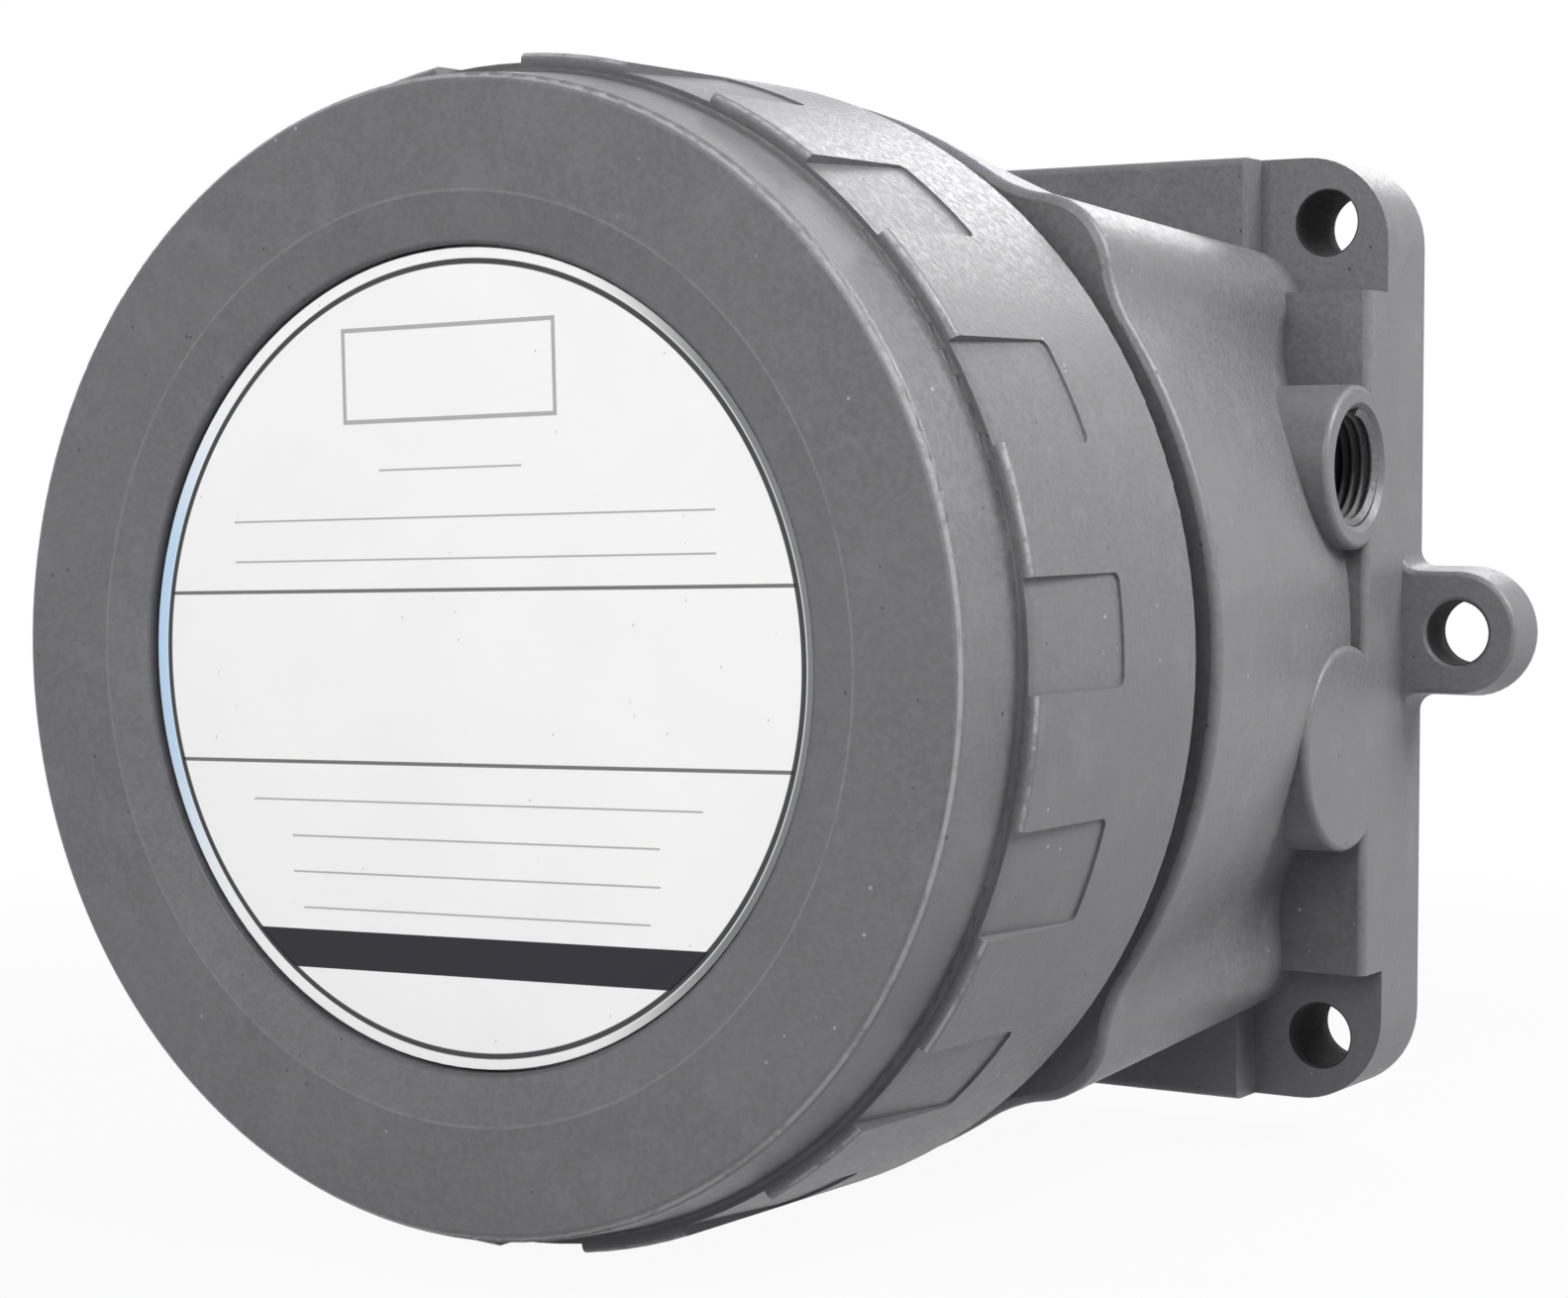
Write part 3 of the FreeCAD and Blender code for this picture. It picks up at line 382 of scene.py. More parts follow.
@dataclass(frozen=True)
class CastEnamel:
    """Thin satin enamel over sand-cast metal, with mottling, pits, chips, worn edges with painted
    highlights, soiling and painted shade in corners, and painted shade in bores.
    """

    name: str
    rubs_and_highlights: tuple[RubAndHighlight, ...] = ()
    dirt_and_shade_rings: tuple[DirtAndShade, ...] = ()
    bores: tuple[Bore, ...] = ()
    base: Colour = (0.130, 0.130, 0.141)
    pale: Colour = (0.168, 0.165, 0.184)
    warm: Colour = (0.144, 0.140, 0.144)
    bright: Colour = (0.48, 0.48, 0.49)
    # Colour of pits and soiling, and of painted shade in corners and bores
    grime_and_shade: Colour = (0.022, 0.022, 0.023)
    roughness: float = 0.43
    specular: float = 0.32
    metallic: float = 0.12
    grain_height: float = 0.00018
    cloud_scale: float = 34.0
    blotch_scale: float = 130.0
    grain_scale: float = 850.0
    cell_scale: float = 260.0
    patch_scale: float = 48.0
    break_scale: float = 210.0
    darkening_scale: float = 70.0
    bore_edge: Pair = (0.35, 0.1)

    def worn_and_highlit(self, shader: Shader, where: Link) -> Link:
        """Mask the worn edges, which carry painted highlights too.

        Args:
            shader: The material that is built.
            where: Object coordinates.

        Returns:
            The link to how worn and highlit each place is.
        """
        breaks = shader.noise(where, self.break_scale, 3.0, 0.7)
        bare_and_highlit = []
        for worn_ring in self.rubs_and_highlights:
            away = shader.from_ring(where, worn_ring.radius, worn_ring.depth)
            near = away.ramp(worn_ring.width * MM, worn_ring.width * 0.3 * MM)
            patchy = breaks.ramp(0.62 - worn_ring.evenness * 0.4, 0.72 - worn_ring.evenness * 0.2)
            bare_and_highlit.append(near * patchy * worn_ring.strength)
        return largest(bare_and_highlit)

    def dirt_and_shade_mask(self, shader: Shader, where: Link) -> Link:
        """Mask the corners that darken with soiling and painted shade.

        Args:
            shader: The material that is built.
            where: Object coordinates.

        Returns:
            The link to how dark each place is.
        """
        uneven = shader.noise(where, self.darkening_scale, 3.0).ramp(0.25, 0.6, 0.6, 1.0)
        darkening = []
        for dark_ring in self.dirt_and_shade_rings:
            away = shader.from_ring(where, dark_ring.radius, dark_ring.depth)
            darkening.append(away.ramp(dark_ring.width * MM, dark_ring.width * 0.4 * MM) * uneven * dark_ring.strength)
        return largest(darkening)

    def dull_and_shaded(self, shader: Shader, where: Link) -> Link:
        """Mask the bores, which turn rougher and darker with painted shade.

        Args:
            shader: The material that is built.
            where: Object coordinates.

        Returns:
            The link to how rough and shade-darkened each place is.
        """
        x, y, z = shader.split(where)
        outer, inner = self.bore_edge
        masks = []
        for bore in self.bores:
            along, across = (x, y) if bore.axis is Axis.X else (y, x)
            across = across - bore.across * MM
            up = z - bore.up * MM
            away = (across * across + up * up).root()
            inside = away.ramp((bore.radius + outer) * MM, (bore.radius + inner) * MM)
            masks.append(inside * along.ramp(bore.mouth * MM, (bore.mouth + bore.fade) * MM))
        return largest(masks)

    def make(self) -> bpy.types.Material:
        """Build the material.

        Returns:
            The finished material.
        """
        shader = Shader(self.name)
        where = shader.place()
        cloud = shader.noise(where, self.cloud_scale, 4.0, 0.6)
        blotch = shader.noise(where, self.blotch_scale, 3.0, 0.6)
        grain = shader.noise(where, self.grain_scale, 3.0, 0.6)
        mottle = grain.ramp(0.36, 0.66) * 0.55 + blotch.ramp(0.50, 0.72) * 0.45
        colour = shader.mix(cloud.ramp(0.35, 0.68), self.base, self.warm)
        colour = shader.mix(mottle, colour, self.pale)
        cells = shader.cells(where, self.cell_scale)
        patch = shader.noise(where, self.patch_scale, 2.0)
        pits = cells.ramp(0.11, 0.05) * patch.ramp(0.53, 0.60)
        chips = cells.ramp(0.10, 0.06) * patch.ramp(0.42, 0.36)
        bare_and_highlit = chips * 0.5
        # Worn edges, painted lighter as edge highlights too
        if self.rubs_and_highlights:
            bare_and_highlit = bare_and_highlit.most(self.worn_and_highlit(shader, where))
        # Corners darken with soiling and with painted shade
        if self.dirt_and_shade_rings:
            colour = shader.mix(self.dirt_and_shade_mask(shader, where), colour, self.grime_and_shade)
        colour = shader.mix(pits * 0.6, colour, self.grime_and_shade)
        # Chips and worn edges show the metal; the worn edges are also a painted highlight
        colour = shader.mix(bare_and_highlit, colour, self.bright)
        rough = grain.ramp(0.3, 0.7, self.roughness - 0.06, self.roughness + 0.08) - bare_and_highlit * 0.1
        # Bores turn rougher, and darker with painted shade
        if self.bores:
            dull_and_shaded = self.dull_and_shaded(shader, where)
            colour = shader.mix(dull_and_shaded * 0.9, colour, self.grime_and_shade)
            rough = rough + dull_and_shaded * 0.5
        height = grain * 0.8 + cloud * 0.2 - pits * 0.8 - chips * 0.3
        return shader.set(Base_Color=colour, Roughness=rough, Metallic=self.metallic,
                          Normal=shader.bump(height, 0.5, self.grain_height),
                          Specular_IOR_Level=self.specular)


class Grain(Enum):
    """How the marks of making run over a metal part: how their noise is stretched, and its scale."""

    # Rings about the cover's axis, which no stretch gives
    TURNED = (None, 2600.0)
    # Lines along X
    ROLLED = ((0.04, 1.0, 1.0), 2200.0)
    # Short lines along Y
    DRAWN = ((1.0, 0.12, 1.0), 2400.0)


@dataclass(frozen=True)
class WorkedMetal:
    """Bare or plated metal with the marks of its making, stains and fine scratches."""

    name: str
    colour: Colour
    stain: Colour
    grain: Grain
    roughness: float = 0.32
    metallic: float = 0.95
    spangle: float = 0.0
    scratch: Colour = (0.85, 0.85, 0.84)
    cloud_scale: float = 70.0
    scratch_scale: float = 900.0
    flake_scale: float = 330.0
    mark_height: float = 0.00005

    def marks(self, shader: Shader, where: Link) -> Link:
        """Return the tool marks.

        Args:
            shader: The material that is built.
            where: Object coordinates.

        Returns:
            The link to the height of the marks.
        """
        stretch, scale = self.grain.value
        if stretch is None:
            along = shader.join(shader.from_axis(where), shader.split(where)[1], 0.0)
        else:
            along = shader.stretched(where, stretch)
        return shader.noise(along, scale, 2.0)

    def make(self) -> bpy.types.Material:
        """Build the material.

        Returns:
            The finished material.
        """
        shader = Shader(self.name)
        where = shader.place()
        cloud = shader.noise(where, self.cloud_scale, 4.0)
        marks = self.marks(shader, where)
        drawn_out = shader.stretched(where, (0.3, 1.0, 0.3))
        scratches = shader.noise(drawn_out, self.scratch_scale, 1.0).ramp(0.66, 0.72)
        flakes = shader.cells(where, self.flake_scale).ramp(0.2, 0.8) * self.spangle
        colour = shader.mix(cloud.ramp(0.45, 0.75) * 0.6 + flakes * 0.4, self.colour, self.stain)
        colour = shader.mix(scratches * 0.25, colour, self.scratch)
        rough = marks.ramp(0.3, 0.7, self.roughness - 0.06, self.roughness + 0.1)
        rough = rough + cloud.ramp(0.5, 0.8) * 0.08
        height = marks * 0.6 + cloud * 0.4 - scratches * 0.3
        return shader.set(Base_Color=colour, Roughness=rough, Metallic=self.metallic,
                          Normal=shader.bump(height, 0.3, self.mark_height))


@dataclass(frozen=True)
class ScrewSteel:
    """Bright steel with a cut thread on the shank of the set point screw."""

    name: str = "threaded_steel"
    colour: Colour = (0.56, 0.55, 0.53)
    darker_tone: Colour = (0.20, 0.18, 0.15)
    pitch: float = 1.0
    shank_r: float = 4.05
    edge: float = 0.05
    cloud_scale: float = 240.0
    thread_height: float = 0.0004

    def make(self) -> bpy.types.Material:
        """Build the material.

        Returns:
            The finished material.
        """
        shader = Shader(self.name)
        where = shader.place()
        shank = shader.from_axis(where).ramp((self.shank_r + self.edge) * MM, self.shank_r * MM)
        groove = (shader.split(where)[1] * (math.tau / (self.pitch * MM))).wave() * 0.5 + 0.5
        cloud = shader.noise(where, self.cloud_scale, 3.0)
        # Darker in the thread grooves and in clouds
        dark = (1.0 - groove) * shank * 0.7 + cloud.ramp(0.5, 0.75) * 0.25
        colour = shader.mix(dark.least(1.0), self.colour, self.darker_tone)
        return shader.set(Base_Color=colour, Roughness=cloud.ramp(0.3, 0.7, 0.24, 0.36),
                          Metallic=0.95, Normal=shader.bump(groove * shank, 0.8, self.thread_height))


@dataclass(frozen=True)
class Moulded:
    """Moulded plastic or rubber with an even grain, flow marks and a light bloom of dust."""

    name: str
    colour: Colour
    pale: Colour
    roughness: float = 0.5
    grain_scale: float = 1200.0
    grain_height: float = 0.00004
    bloom: float = 0.15
    dust: Colour = (0.55, 0.54, 0.52)
    cloud_scale: float = 60.0
    flow_scale: float = 240.0
    dust_scale: float = 2600.0

    def make(self) -> bpy.types.Material:
        """Build the material.

        Returns:
            The finished material.
        """
        shader = Shader(self.name)
        where = shader.place()
        cloud = shader.noise(where, self.cloud_scale, 3.0)
        grain = shader.noise(where, self.grain_scale, 2.0)
        flow = shader.noise(shader.stretched(where, (0.3, 1.0, 0.6)), self.flow_scale, 2.0)
        dust = shader.noise(where, self.dust_scale, 1.0).ramp(0.62, 0.70) * cloud.ramp(0.45, 0.7)
        streaks = cloud.ramp(0.35, 0.7) * 0.5 + flow.ramp(0.4, 0.7) * 0.3
        colour = shader.mix(streaks, self.colour, self.pale)
        colour = shader.mix(dust * self.bloom, colour, self.dust)
        rough = grain.ramp(0.3, 0.7, self.roughness - 0.05, self.roughness + 0.07) + dust * 0.1
        return shader.set(Base_Color=colour, Roughness=rough,
                          Normal=shader.bump(grain * 0.8 + flow * 0.2, 0.35, self.grain_height))


@dataclass(frozen=True)
class CoatedFabric:
    """Rubber on a fine woven cloth, as a pressure diaphragm has."""

    name: str = "diaphragm_fabric"
    colour: Colour = (0.13, 0.062, 0.040)
    hollow: Colour = (0.075, 0.035, 0.024)
    pitch: float = 0.6
    cloud_scale: float = 90.0
    weave_height: float = 0.00008

    def make(self) -> bpy.types.Material:
        """Build the material.

        Returns:
            The finished material.
        """
        shader = Shader(self.name)
        where = shader.place()
        x, _, z = shader.split(where)
        turn = math.pi / (self.pitch * MM)
        weave = abs((x * turn).wave()) * abs((z * turn).wave())
        cloud = shader.noise(where, self.cloud_scale, 3.0)
        dark = weave.ramp(0.5, 0.0) * 0.7 + cloud.ramp(0.5, 0.8) * 0.3
        return shader.set(Base_Color=shader.mix(dark, self.colour, self.hollow),
                          Roughness=cloud.ramp(0.3, 0.7, 0.52, 0.66),
                          Normal=shader.bump(weave, 0.5, self.weave_height))


@dataclass(frozen=True)
class ClearGlass:
    """Thick toughened glass with a slight blue-green tint and a few wipe marks."""

    name: str = "toughened_glass"
    tint: Colour = (0.88, 0.94, 0.95)
    smear_scale: float = 60.0
    index: float = 1.5

    def make(self) -> bpy.types.Material:
        """Build the material.

        Returns:
            The finished material.
        """
        shader = Shader(self.name)
        where = shader.place()
        smear = shader.noise(shader.stretched(where, (0.4, 1.0, 1.0)), self.smear_scale, 3.0)
        return shader.set(Base_Color=self.tint, Roughness=smear.ramp(0.4, 0.7, 0.02, 0.09),
                          IOR=self.index, Transmission_Weight=1.0)


@dataclass(frozen=True)
class Bar:
    """An upright printed bar: its centre and half sizes in mm, in the print's own axes."""

    x: float
    z: float
    half_width: float
    half_height: float

    def mask(self, x: Link, z: Link, soft: float) -> Link:
        """Mask the bar.

        Args:
            x: Distance to the right in the print, in mm.
            z: Height in the print, in mm.
            soft: Width of its soft edge, in mm.

        Returns:
            The link to 1 inside the bar and 0 outside.
        """
        across = abs(x - self.x).ramp(self.half_width + soft / 2, self.half_width - soft / 2)
        along = abs(z - self.z).ramp(self.half_height + soft / 2, self.half_height - soft / 2)
        return across * along


@dataclass(frozen=True)
class PrintedPlate:
    """White enamelled plate with a printed border, two rules, a dark band, blank entry lines and a rim
    painted with reflection and shade.
    """

    name: str = "printed_plate"
    white: Colour = (0.97, 0.97, 0.965)
    shade: Colour = (0.945, 0.945, 0.95)
    ink: Colour = (0.012, 0.012, 0.015)
    rule_ink: Colour = (0.10, 0.10, 0.105)
    band_ink: Colour = (0.026, 0.026, 0.034)
    # Painted reflection in pale blue on the rim's left, and painted shade on its right
    blue: Colour = (0.42, 0.66, 0.92)
    painted_shade_rim: Colour = (0.10, 0.105, 0.11)
    border_r: float = 61.9
    border_x: float = 0.5
    border_half: float = 0.46
    rim_fade: float = 0.3
    reflection_side: Pair = (-30.0, -58.0)
    reflection_low: Pair = (-46.0, -10.0)
    reflection_high: Pair = (46.0, 12.0)
    shade_side: Pair = (20.0, 50.0)
    turn: float = 1.6
    soft: float = 0.12
    cloud_scale: float = 40.0
    speck_scale: float = 190.0
    ink_height: float = 0.00002
    specular: float = 0.2
    rules: tuple[Bar, ...] = (Bar(0.0, 11.0, 70.0, 0.3), Bar(0.0, -16.4, 70.0, 0.3))
    band: Bar = Bar(0.0, -46.6, 70.0, 3.1)
    field: tuple[Bar, Bar] = (Bar(-2.0, 45.0, 21.0, 7.6), Bar(-2.0, 45.0, 20.3, 6.9))
    entries: tuple[Bar, ...] = (Bar(-2.0, 30.0, 14.0, 0.15), Bar(0.5, 22.4, 47.0, 0.15),
                                Bar(0.5, 15.9, 47.0, 0.15), Bar(0.0, -22.6, 44.0, 0.15),
                                Bar(0.0, -28.4, 36.0, 0.15), Bar(0.0, -34.2, 36.0, 0.15),
                                Bar(0.0, -40.0, 34.0, 0.15))

    def most_of(self, x: Link, z: Link, bars: Sequence[Bar]) -> Link:
        """Return 1 inside any of the bars and 0 outside them; x and z are in mm."""
        return largest([bar.mask(x, z, self.soft) for bar in bars])

    def make(self) -> bpy.types.Material:
        """Build the material.

        Returns:
            The finished material.
        """
        shader = Shader(self.name)
        where = shader.place()
        x_metres, _, z_metres = shader.split(where)
        plate_x = x_metres * (1.0 / MM)
        plate_z = z_metres * (1.0 / MM)
        cosine = math.cos(math.radians(self.turn))
        sine = math.sin(math.radians(self.turn))
        x = plate_x * cosine + plate_z * sine
        z = plate_z * cosine - plate_x * sine
        off_x = plate_x - self.border_x
        radius = (off_x * off_x + plate_z * plate_z).root()
        inside = radius.ramp(self.border_r, self.border_r - self.soft)
        off_line = abs(radius - self.border_r)
        border = off_line.ramp(self.border_half + self.soft, self.border_half - self.soft)
        cloud = shader.noise(where, self.cloud_scale, 3.0)
        speck = shader.cells(where, self.speck_scale).ramp(0.045, 0.02)
        rules = self.most_of(x, z, self.rules) * inside
        outline = self.field[0].mask(x, z, self.soft) - self.field[1].mask(x, z, self.soft)
        entries = self.most_of(x, z, self.entries).most(outline) * inside
        band = self.band.mask(x, z, self.soft) * inside
        colour = shader.mix(cloud.ramp(0.3, 0.8), self.white, self.shade)
        colour = shader.mix(speck * 0.4, colour, self.rule_ink)
        colour = shader.mix(rules * 0.9, colour, self.rule_ink)
        colour = shader.mix(entries * 0.6, colour, self.rule_ink)
        colour = shader.mix(band, colour, self.band_ink)
        edge = self.border_r + self.border_half
        # The rim gets a painted pale blue reflection on the left and painted shade on the right
        rim = radius.ramp(edge, edge + self.rim_fade)
        left = plate_x.ramp(*self.reflection_side)
        left = left * plate_z.ramp(*self.reflection_low) * plate_z.ramp(*self.reflection_high)
        right = plate_x.ramp(*self.shade_side)
        colour = shader.mix(rim * left * 0.8, colour, self.blue)
        colour = shader.mix(rim * right * 0.85, colour, self.painted_shade_rim)
        colour = shader.mix(border * 0.95, colour, self.ink)
        relief = (entries + rules + band + border).least(1.0)
        return shader.set(Base_Color=colour, Roughness=cloud.ramp(0.3, 0.7, 0.34, 0.44),
                          Normal=shader.bump(relief, 0.25, self.ink_height),
                          Specular_IOR_Level=self.specular)


@dataclass(frozen=True)
class ScaleEnamel:
    """White scale beside the set point screw, with plain graduation marks."""

    name: str = "scale_enamel"
    white: Colour = (0.86, 0.86, 0.84)
    shade: Colour = (0.78, 0.78, 0.75)
    ink: Colour = (0.02, 0.02, 0.02)
    middle_z: float = -34.0
    step: float = 2.0
    long_step: float = 10.0
    line: float = 0.2
    reach: Pair = (17.0, 16.8)
    short_z: float = 3.0
    short_half: Pair = (1.6, 1.5)
    long_z: float = 2.0
    long_half: Pair = (3.1, 3.0)
    base_z: float = -1.0
    base_half: Pair = (0.22, 0.14)
    cloud_scale: float = 90.0
    ink_height: float = 0.00002

    def make(self) -> bpy.types.Material:
        """Build the material.

        Returns:
            The finished material.
        """
        shader = Shader(self.name)
        where = shader.place()
        x_metres, _, z_metres = shader.split(where)
        x = x_metres * (1.0 / MM)
        z = z_metres * (1.0 / MM) - self.middle_z
        short = x.off_mark(self.step).ramp(self.line, self.line * 0.6)
        long = x.off_mark(self.long_step).ramp(self.line * 1.4, self.line)
        short = short * abs(z - self.short_z).ramp(*self.short_half)
        long = long * abs(z - self.long_z).ramp(*self.long_half)
        base = abs(z - self.base_z).ramp(*self.base_half)
        lines = largest([short, long, base]) * abs(x).ramp(*self.reach)
        cloud = shader.noise(where, self.cloud_scale, 3.0)
        colour = shader.mix(cloud.ramp(0.3, 0.8) * 0.4, self.white, self.shade)
        colour = shader.mix(lines, colour, self.ink)
        return shader.set(Base_Color=colour, Roughness=cloud.ramp(0.3, 0.7, 0.3, 0.42),
                          Normal=shader.bump(lines, 0.2, self.ink_height))


def housing_bores() -> tuple[Bore, ...]:
    """Find the walls of the holes in the housing, which get painted shade.

    Returns:
        The conduit port, and the corner and ear holes that the record gives as mounts.
    """
    found = [Bore(Axis.X, *CONDUIT, CONDUIT_R, mouth=60.0, fade=1.0)]
    for mount in frame["record"]["mounts"]:
        sizes = mount["dims"]
        if mount["kind"] == "bolt_pattern":
            width, height = sizes["spacing_x_mm"], sizes.get("spacing_y_mm", 0.0)
            rows = (-height / 2, height / 2) if height else (0.0,)
            found += [Bore(Axis.Y, across, up, sizes["hole_r_mm"], mouth=-30.0, fade=1.5)
                      for across in (-width / 2, width / 2) for up in rows]
    return tuple(found)


class Wear(Enum):
    """The finishes that the parts wear."""

    # The worn rings on the cover's edges are painted lighter as edge highlights too
    COVER = CastEnamel("cover_enamel",
                       rubs_and_highlights=(RubAndHighlight(90.05, 0.45, 0.55, 0.95, 0.45), RubAndHighlight(94.65, 14.85, 0.5, 0.7, 0.5),
                             RubAndHighlight(95.4, 66.0, 0.4, 0.2, 0.4), RubAndHighlight(72.6, 0.1, 0.35, 1.0, 0.14)),
                       # The dark rings at the step and in the window recess are soiling and painted shade
                       dirt_and_shade_rings=(DirtAndShade(90.8, 15.0, 3.6, 0.55), DirtAndShade(64.6, 2.6, 1.2, 0.5)))
    # The housing's port and mount holes are darkened inside with painted shade
    HOUSING = CastEnamel("housing_enamel", bores=housing_bores())
    # The port thread darkens deeper into its bore: painted shade
    TAPPED = CastEnamel("tapped_thread",
                        bores=(Bore(Axis.X, *CONDUIT, CONDUIT_R, mouth=86.5, fade=-9.0),),
                        base=(0.11, 0.11, 0.116), pale=(0.17, 0.17, 0.178),
                        warm=(0.12, 0.117, 0.115), roughness=0.38, metallic=0.4)
    # Darker than the housing: an oiled thread, with painted shade of the groove behind the cover
    NECK = CastEnamel("oiled_thread", base=(0.075, 0.075, 0.078), pale=(0.12, 0.12, 0.125),
                      warm=(0.085, 0.082, 0.078), roughness=0.36, metallic=0.4)
    ZINC_RING = WorkedMetal("zinc_plate_turned", (0.60, 0.59, 0.53), (0.48, 0.47, 0.40),
                            Grain.TURNED, 0.34, spangle=0.3)
    ZINC_SHEET = WorkedMetal("zinc_plate_sheet", (0.60, 0.59, 0.53), (0.47, 0.46, 0.40),
                             Grain.ROLLED, 0.36, spangle=0.5)
    ALUMINIUM = WorkedMetal("machined_aluminium", (0.66, 0.67, 0.68), (0.55, 0.56, 0.57),
                            Grain.TURNED, 0.30)
    STEEL = WorkedMetal("screw_steel", (0.55, 0.55, 0.54), (0.38, 0.37, 0.35), Grain.DRAWN, 0.28)
    ROD = WorkedMetal("ground_steel", (0.62, 0.62, 0.61), (0.50, 0.50, 0.49), Grain.DRAWN, 0.18)
    SPRING = WorkedMetal("spring_steel", (0.40, 0.40, 0.42), (0.26, 0.25, 0.24), Grain.DRAWN, 0.30)
    BRASS = WorkedMetal("turned_brass", (0.74, 0.57, 0.28), (0.54, 0.39, 0.18), Grain.TURNED, 0.27)
    COPPER = WorkedMetal("drawn_copper", (0.76, 0.44, 0.30), (0.46, 0.25, 0.17), Grain.ROLLED, 0.32)
    THREADED = ScrewSteel()
    RUBBER = Moulded("black_rubber", (0.020, 0.020, 0.021), (0.035, 0.035, 0.036), 0.62, bloom=0.3)
    FABRIC = CoatedFabric()
    BLACK = Moulded("black_moulding", (0.028, 0.028, 0.031), (0.048, 0.048, 0.053), 0.45)
    RED = Moulded("red_button", (0.50, 0.05, 0.03), (0.58, 0.09, 0.06), 0.32, bloom=0.05)
    BUFF = Moulded("buff_moulding", (0.56, 0.53, 0.44), (0.64, 0.61, 0.52), grain_height=0.00006)
    WIRE = Moulded("wire_insulation", (0.035, 0.065, 0.20), (0.055, 0.095, 0.27), 0.36, bloom=0.1)
    GLASS = ClearGlass()
    PLATE = PrintedPlate()
    SCALE = ScaleEnamel()


class Wardrobe:
    """Makes each finish once and puts it on nodes and pieces."""

    def __init__(self) -> None:
        """Start with no finish made."""
        self.made: dict[Wear, bpy.types.Material] = {}

    def put(self, wear: Wear, thing: bpy.types.Object) -> None:
        """Put a finish on an object.

        Args:
            wear: The finish, made on first use.
            thing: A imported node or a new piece.
        """
        if wear not in self.made:
            finish: Finish = wear.value
            self.made[wear] = finish.make()
        if not thing.material_slots:
            thing.data.materials.append(None)
        for slot in thing.material_slots:
            slot.material = self.made[wear]


def as_object(name: str, shape: bmesh.types.BMesh) -> bpy.types.Object:
    """Turn a finished bmesh into an object of the scene.

    Args:
        name: Name of the object.
        shape: The shape, with its place in its points.

    Returns:
        The new object.
    """
    data = bpy.data.meshes.new(name)
    shape.to_mesh(data)
    shape.free()
    made = bpy.data.objects.new(name, data)
    bpy.context.scene.collection.objects.link(made)
    return made


class Piece(Protocol):
    """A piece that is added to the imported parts."""

    @property
    def name(self) -> str:
        """Return the name of its object."""

    def build(self) -> bpy.types.Object:
        """Build the piece and return it."""


@dataclass(frozen=True)
class Thread:
    """A screw thread as one helical ridge on a round wall; its profile is in shares of the pitch."""

    name: str
    start: Triple
    along: Triple
    wall_r: float
    crest_r: float
    length: float
    pitch: float
    steps: int
    sink: float = 0.06
    profile: tuple[float, float, float, float] = (0.03, 0.42, 0.58, 0.97)
    body: str = "housing"
    slot: str = "cast_grey"

    def build(self) -> bpy.types.Object:
        """Wind the ridge round its axis.

        Returns:
            The finished piece, which rides on its body.
        """
        shape = bmesh.new()
        centre = Vector(self.start) * MM
        axis = Vector(self.along)
        across = Vector((0.0, 0.0, 1.0))
        foot_r = self.wall_r + math.copysign(self.sink, self.wall_r - self.crest_r)
        radii = (foot_r, self.crest_r, self.crest_r, foot_r)
        corners = [shape.verts.new(centre + (axis * share * self.pitch + across * radius) * MM)
                   for radius, share in zip(radii, self.profile)]
        edges = [shape.edges.new((corner, corners[i - 1])) for i, corner in enumerate(corners)]
        rise = axis * (self.pitch * MM)
        bmesh.ops.spin(shape, geom=corners + edges, cent=centre, axis=axis, angle=math.tau,
                       dvec=rise / self.steps, steps=self.steps)
        turn = list(shape.verts) + list(shape.edges) + list(shape.faces)
        for number in range(1, int(self.length / self.pitch) - 1):
            copied = bmesh.ops.duplicate(shape, geom=turn)["geom"]
            corners = [part for part in copied if isinstance(part, bmesh.types.BMVert)]
            bmesh.ops.translate(shape, verts=corners, vec=rise * number)
        bmesh.ops.remove_doubles(shape, verts=shape.verts, dist=2e-6)
        ends = [edge for edge in shape.edges if edge.is_boundary]
        bmesh.ops.holes_fill(shape, edges=ends, sides=len(self.profile))
        bmesh.ops.recalc_face_normals(shape, faces=shape.faces)
        made = as_object(self.name, shape)
        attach(made, self.body)
        return made


@dataclass(frozen=True)
class SpringPart:
    """A part of the range spring, wound as a still coil from its resting end."""

    name: str
    presser: str
    toward: float
    turns: float
    start_y: float = -81.95
    pitch: float = 3.7
    coil_r: float = 8.5
    wire_r: float = 0.86
    steps: int = 40
    segments: int = 14

    def build(self) -> bpy.types.Object:
        """Wind the wire from the resting coil to the pressed end.

        Returns:
            The finished piece, which takes the place of the imported spring.
        """
        shape = bmesh.new()
        centre = (0.0, self.start_y * MM, 0.0)
        bmesh.ops.create_circle(shape, segments=self.segments, radius=self.wire_r * MM)
        bmesh.ops.translate(shape, verts=shape.verts, vec=(-self.coil_r * MM, self.start_y * MM, 0.0))
        steps = int(self.steps * self.turns)
        reach = self.pitch * self.turns * self.toward
        bmesh.ops.spin(shape, geom=list(shape.verts) + list(shape.edges), cent=centre,
                       axis=(0.0, self.toward, 0.0), angle=math.tau * self.turns,
                       dvec=(0.0, reach * MM / steps, 0.0), steps=steps)
        bmesh.ops.remove_doubles(shape, verts=shape.verts, dist=1e-7)
        ends = [edge for edge in shape.edges if edge.is_boundary]
        bmesh.ops.holes_fill(shape, edges=ends, sides=self.segments)
        bmesh.ops.recalc_face_normals(shape, faces=shape.faces)
        for face in shape.faces:
            face.smooth = len(face.verts) == 4
        made = as_object(self.name, shape)
        (self.start_y + reach) * MM
        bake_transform(made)
        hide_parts("range_spring")
        return made


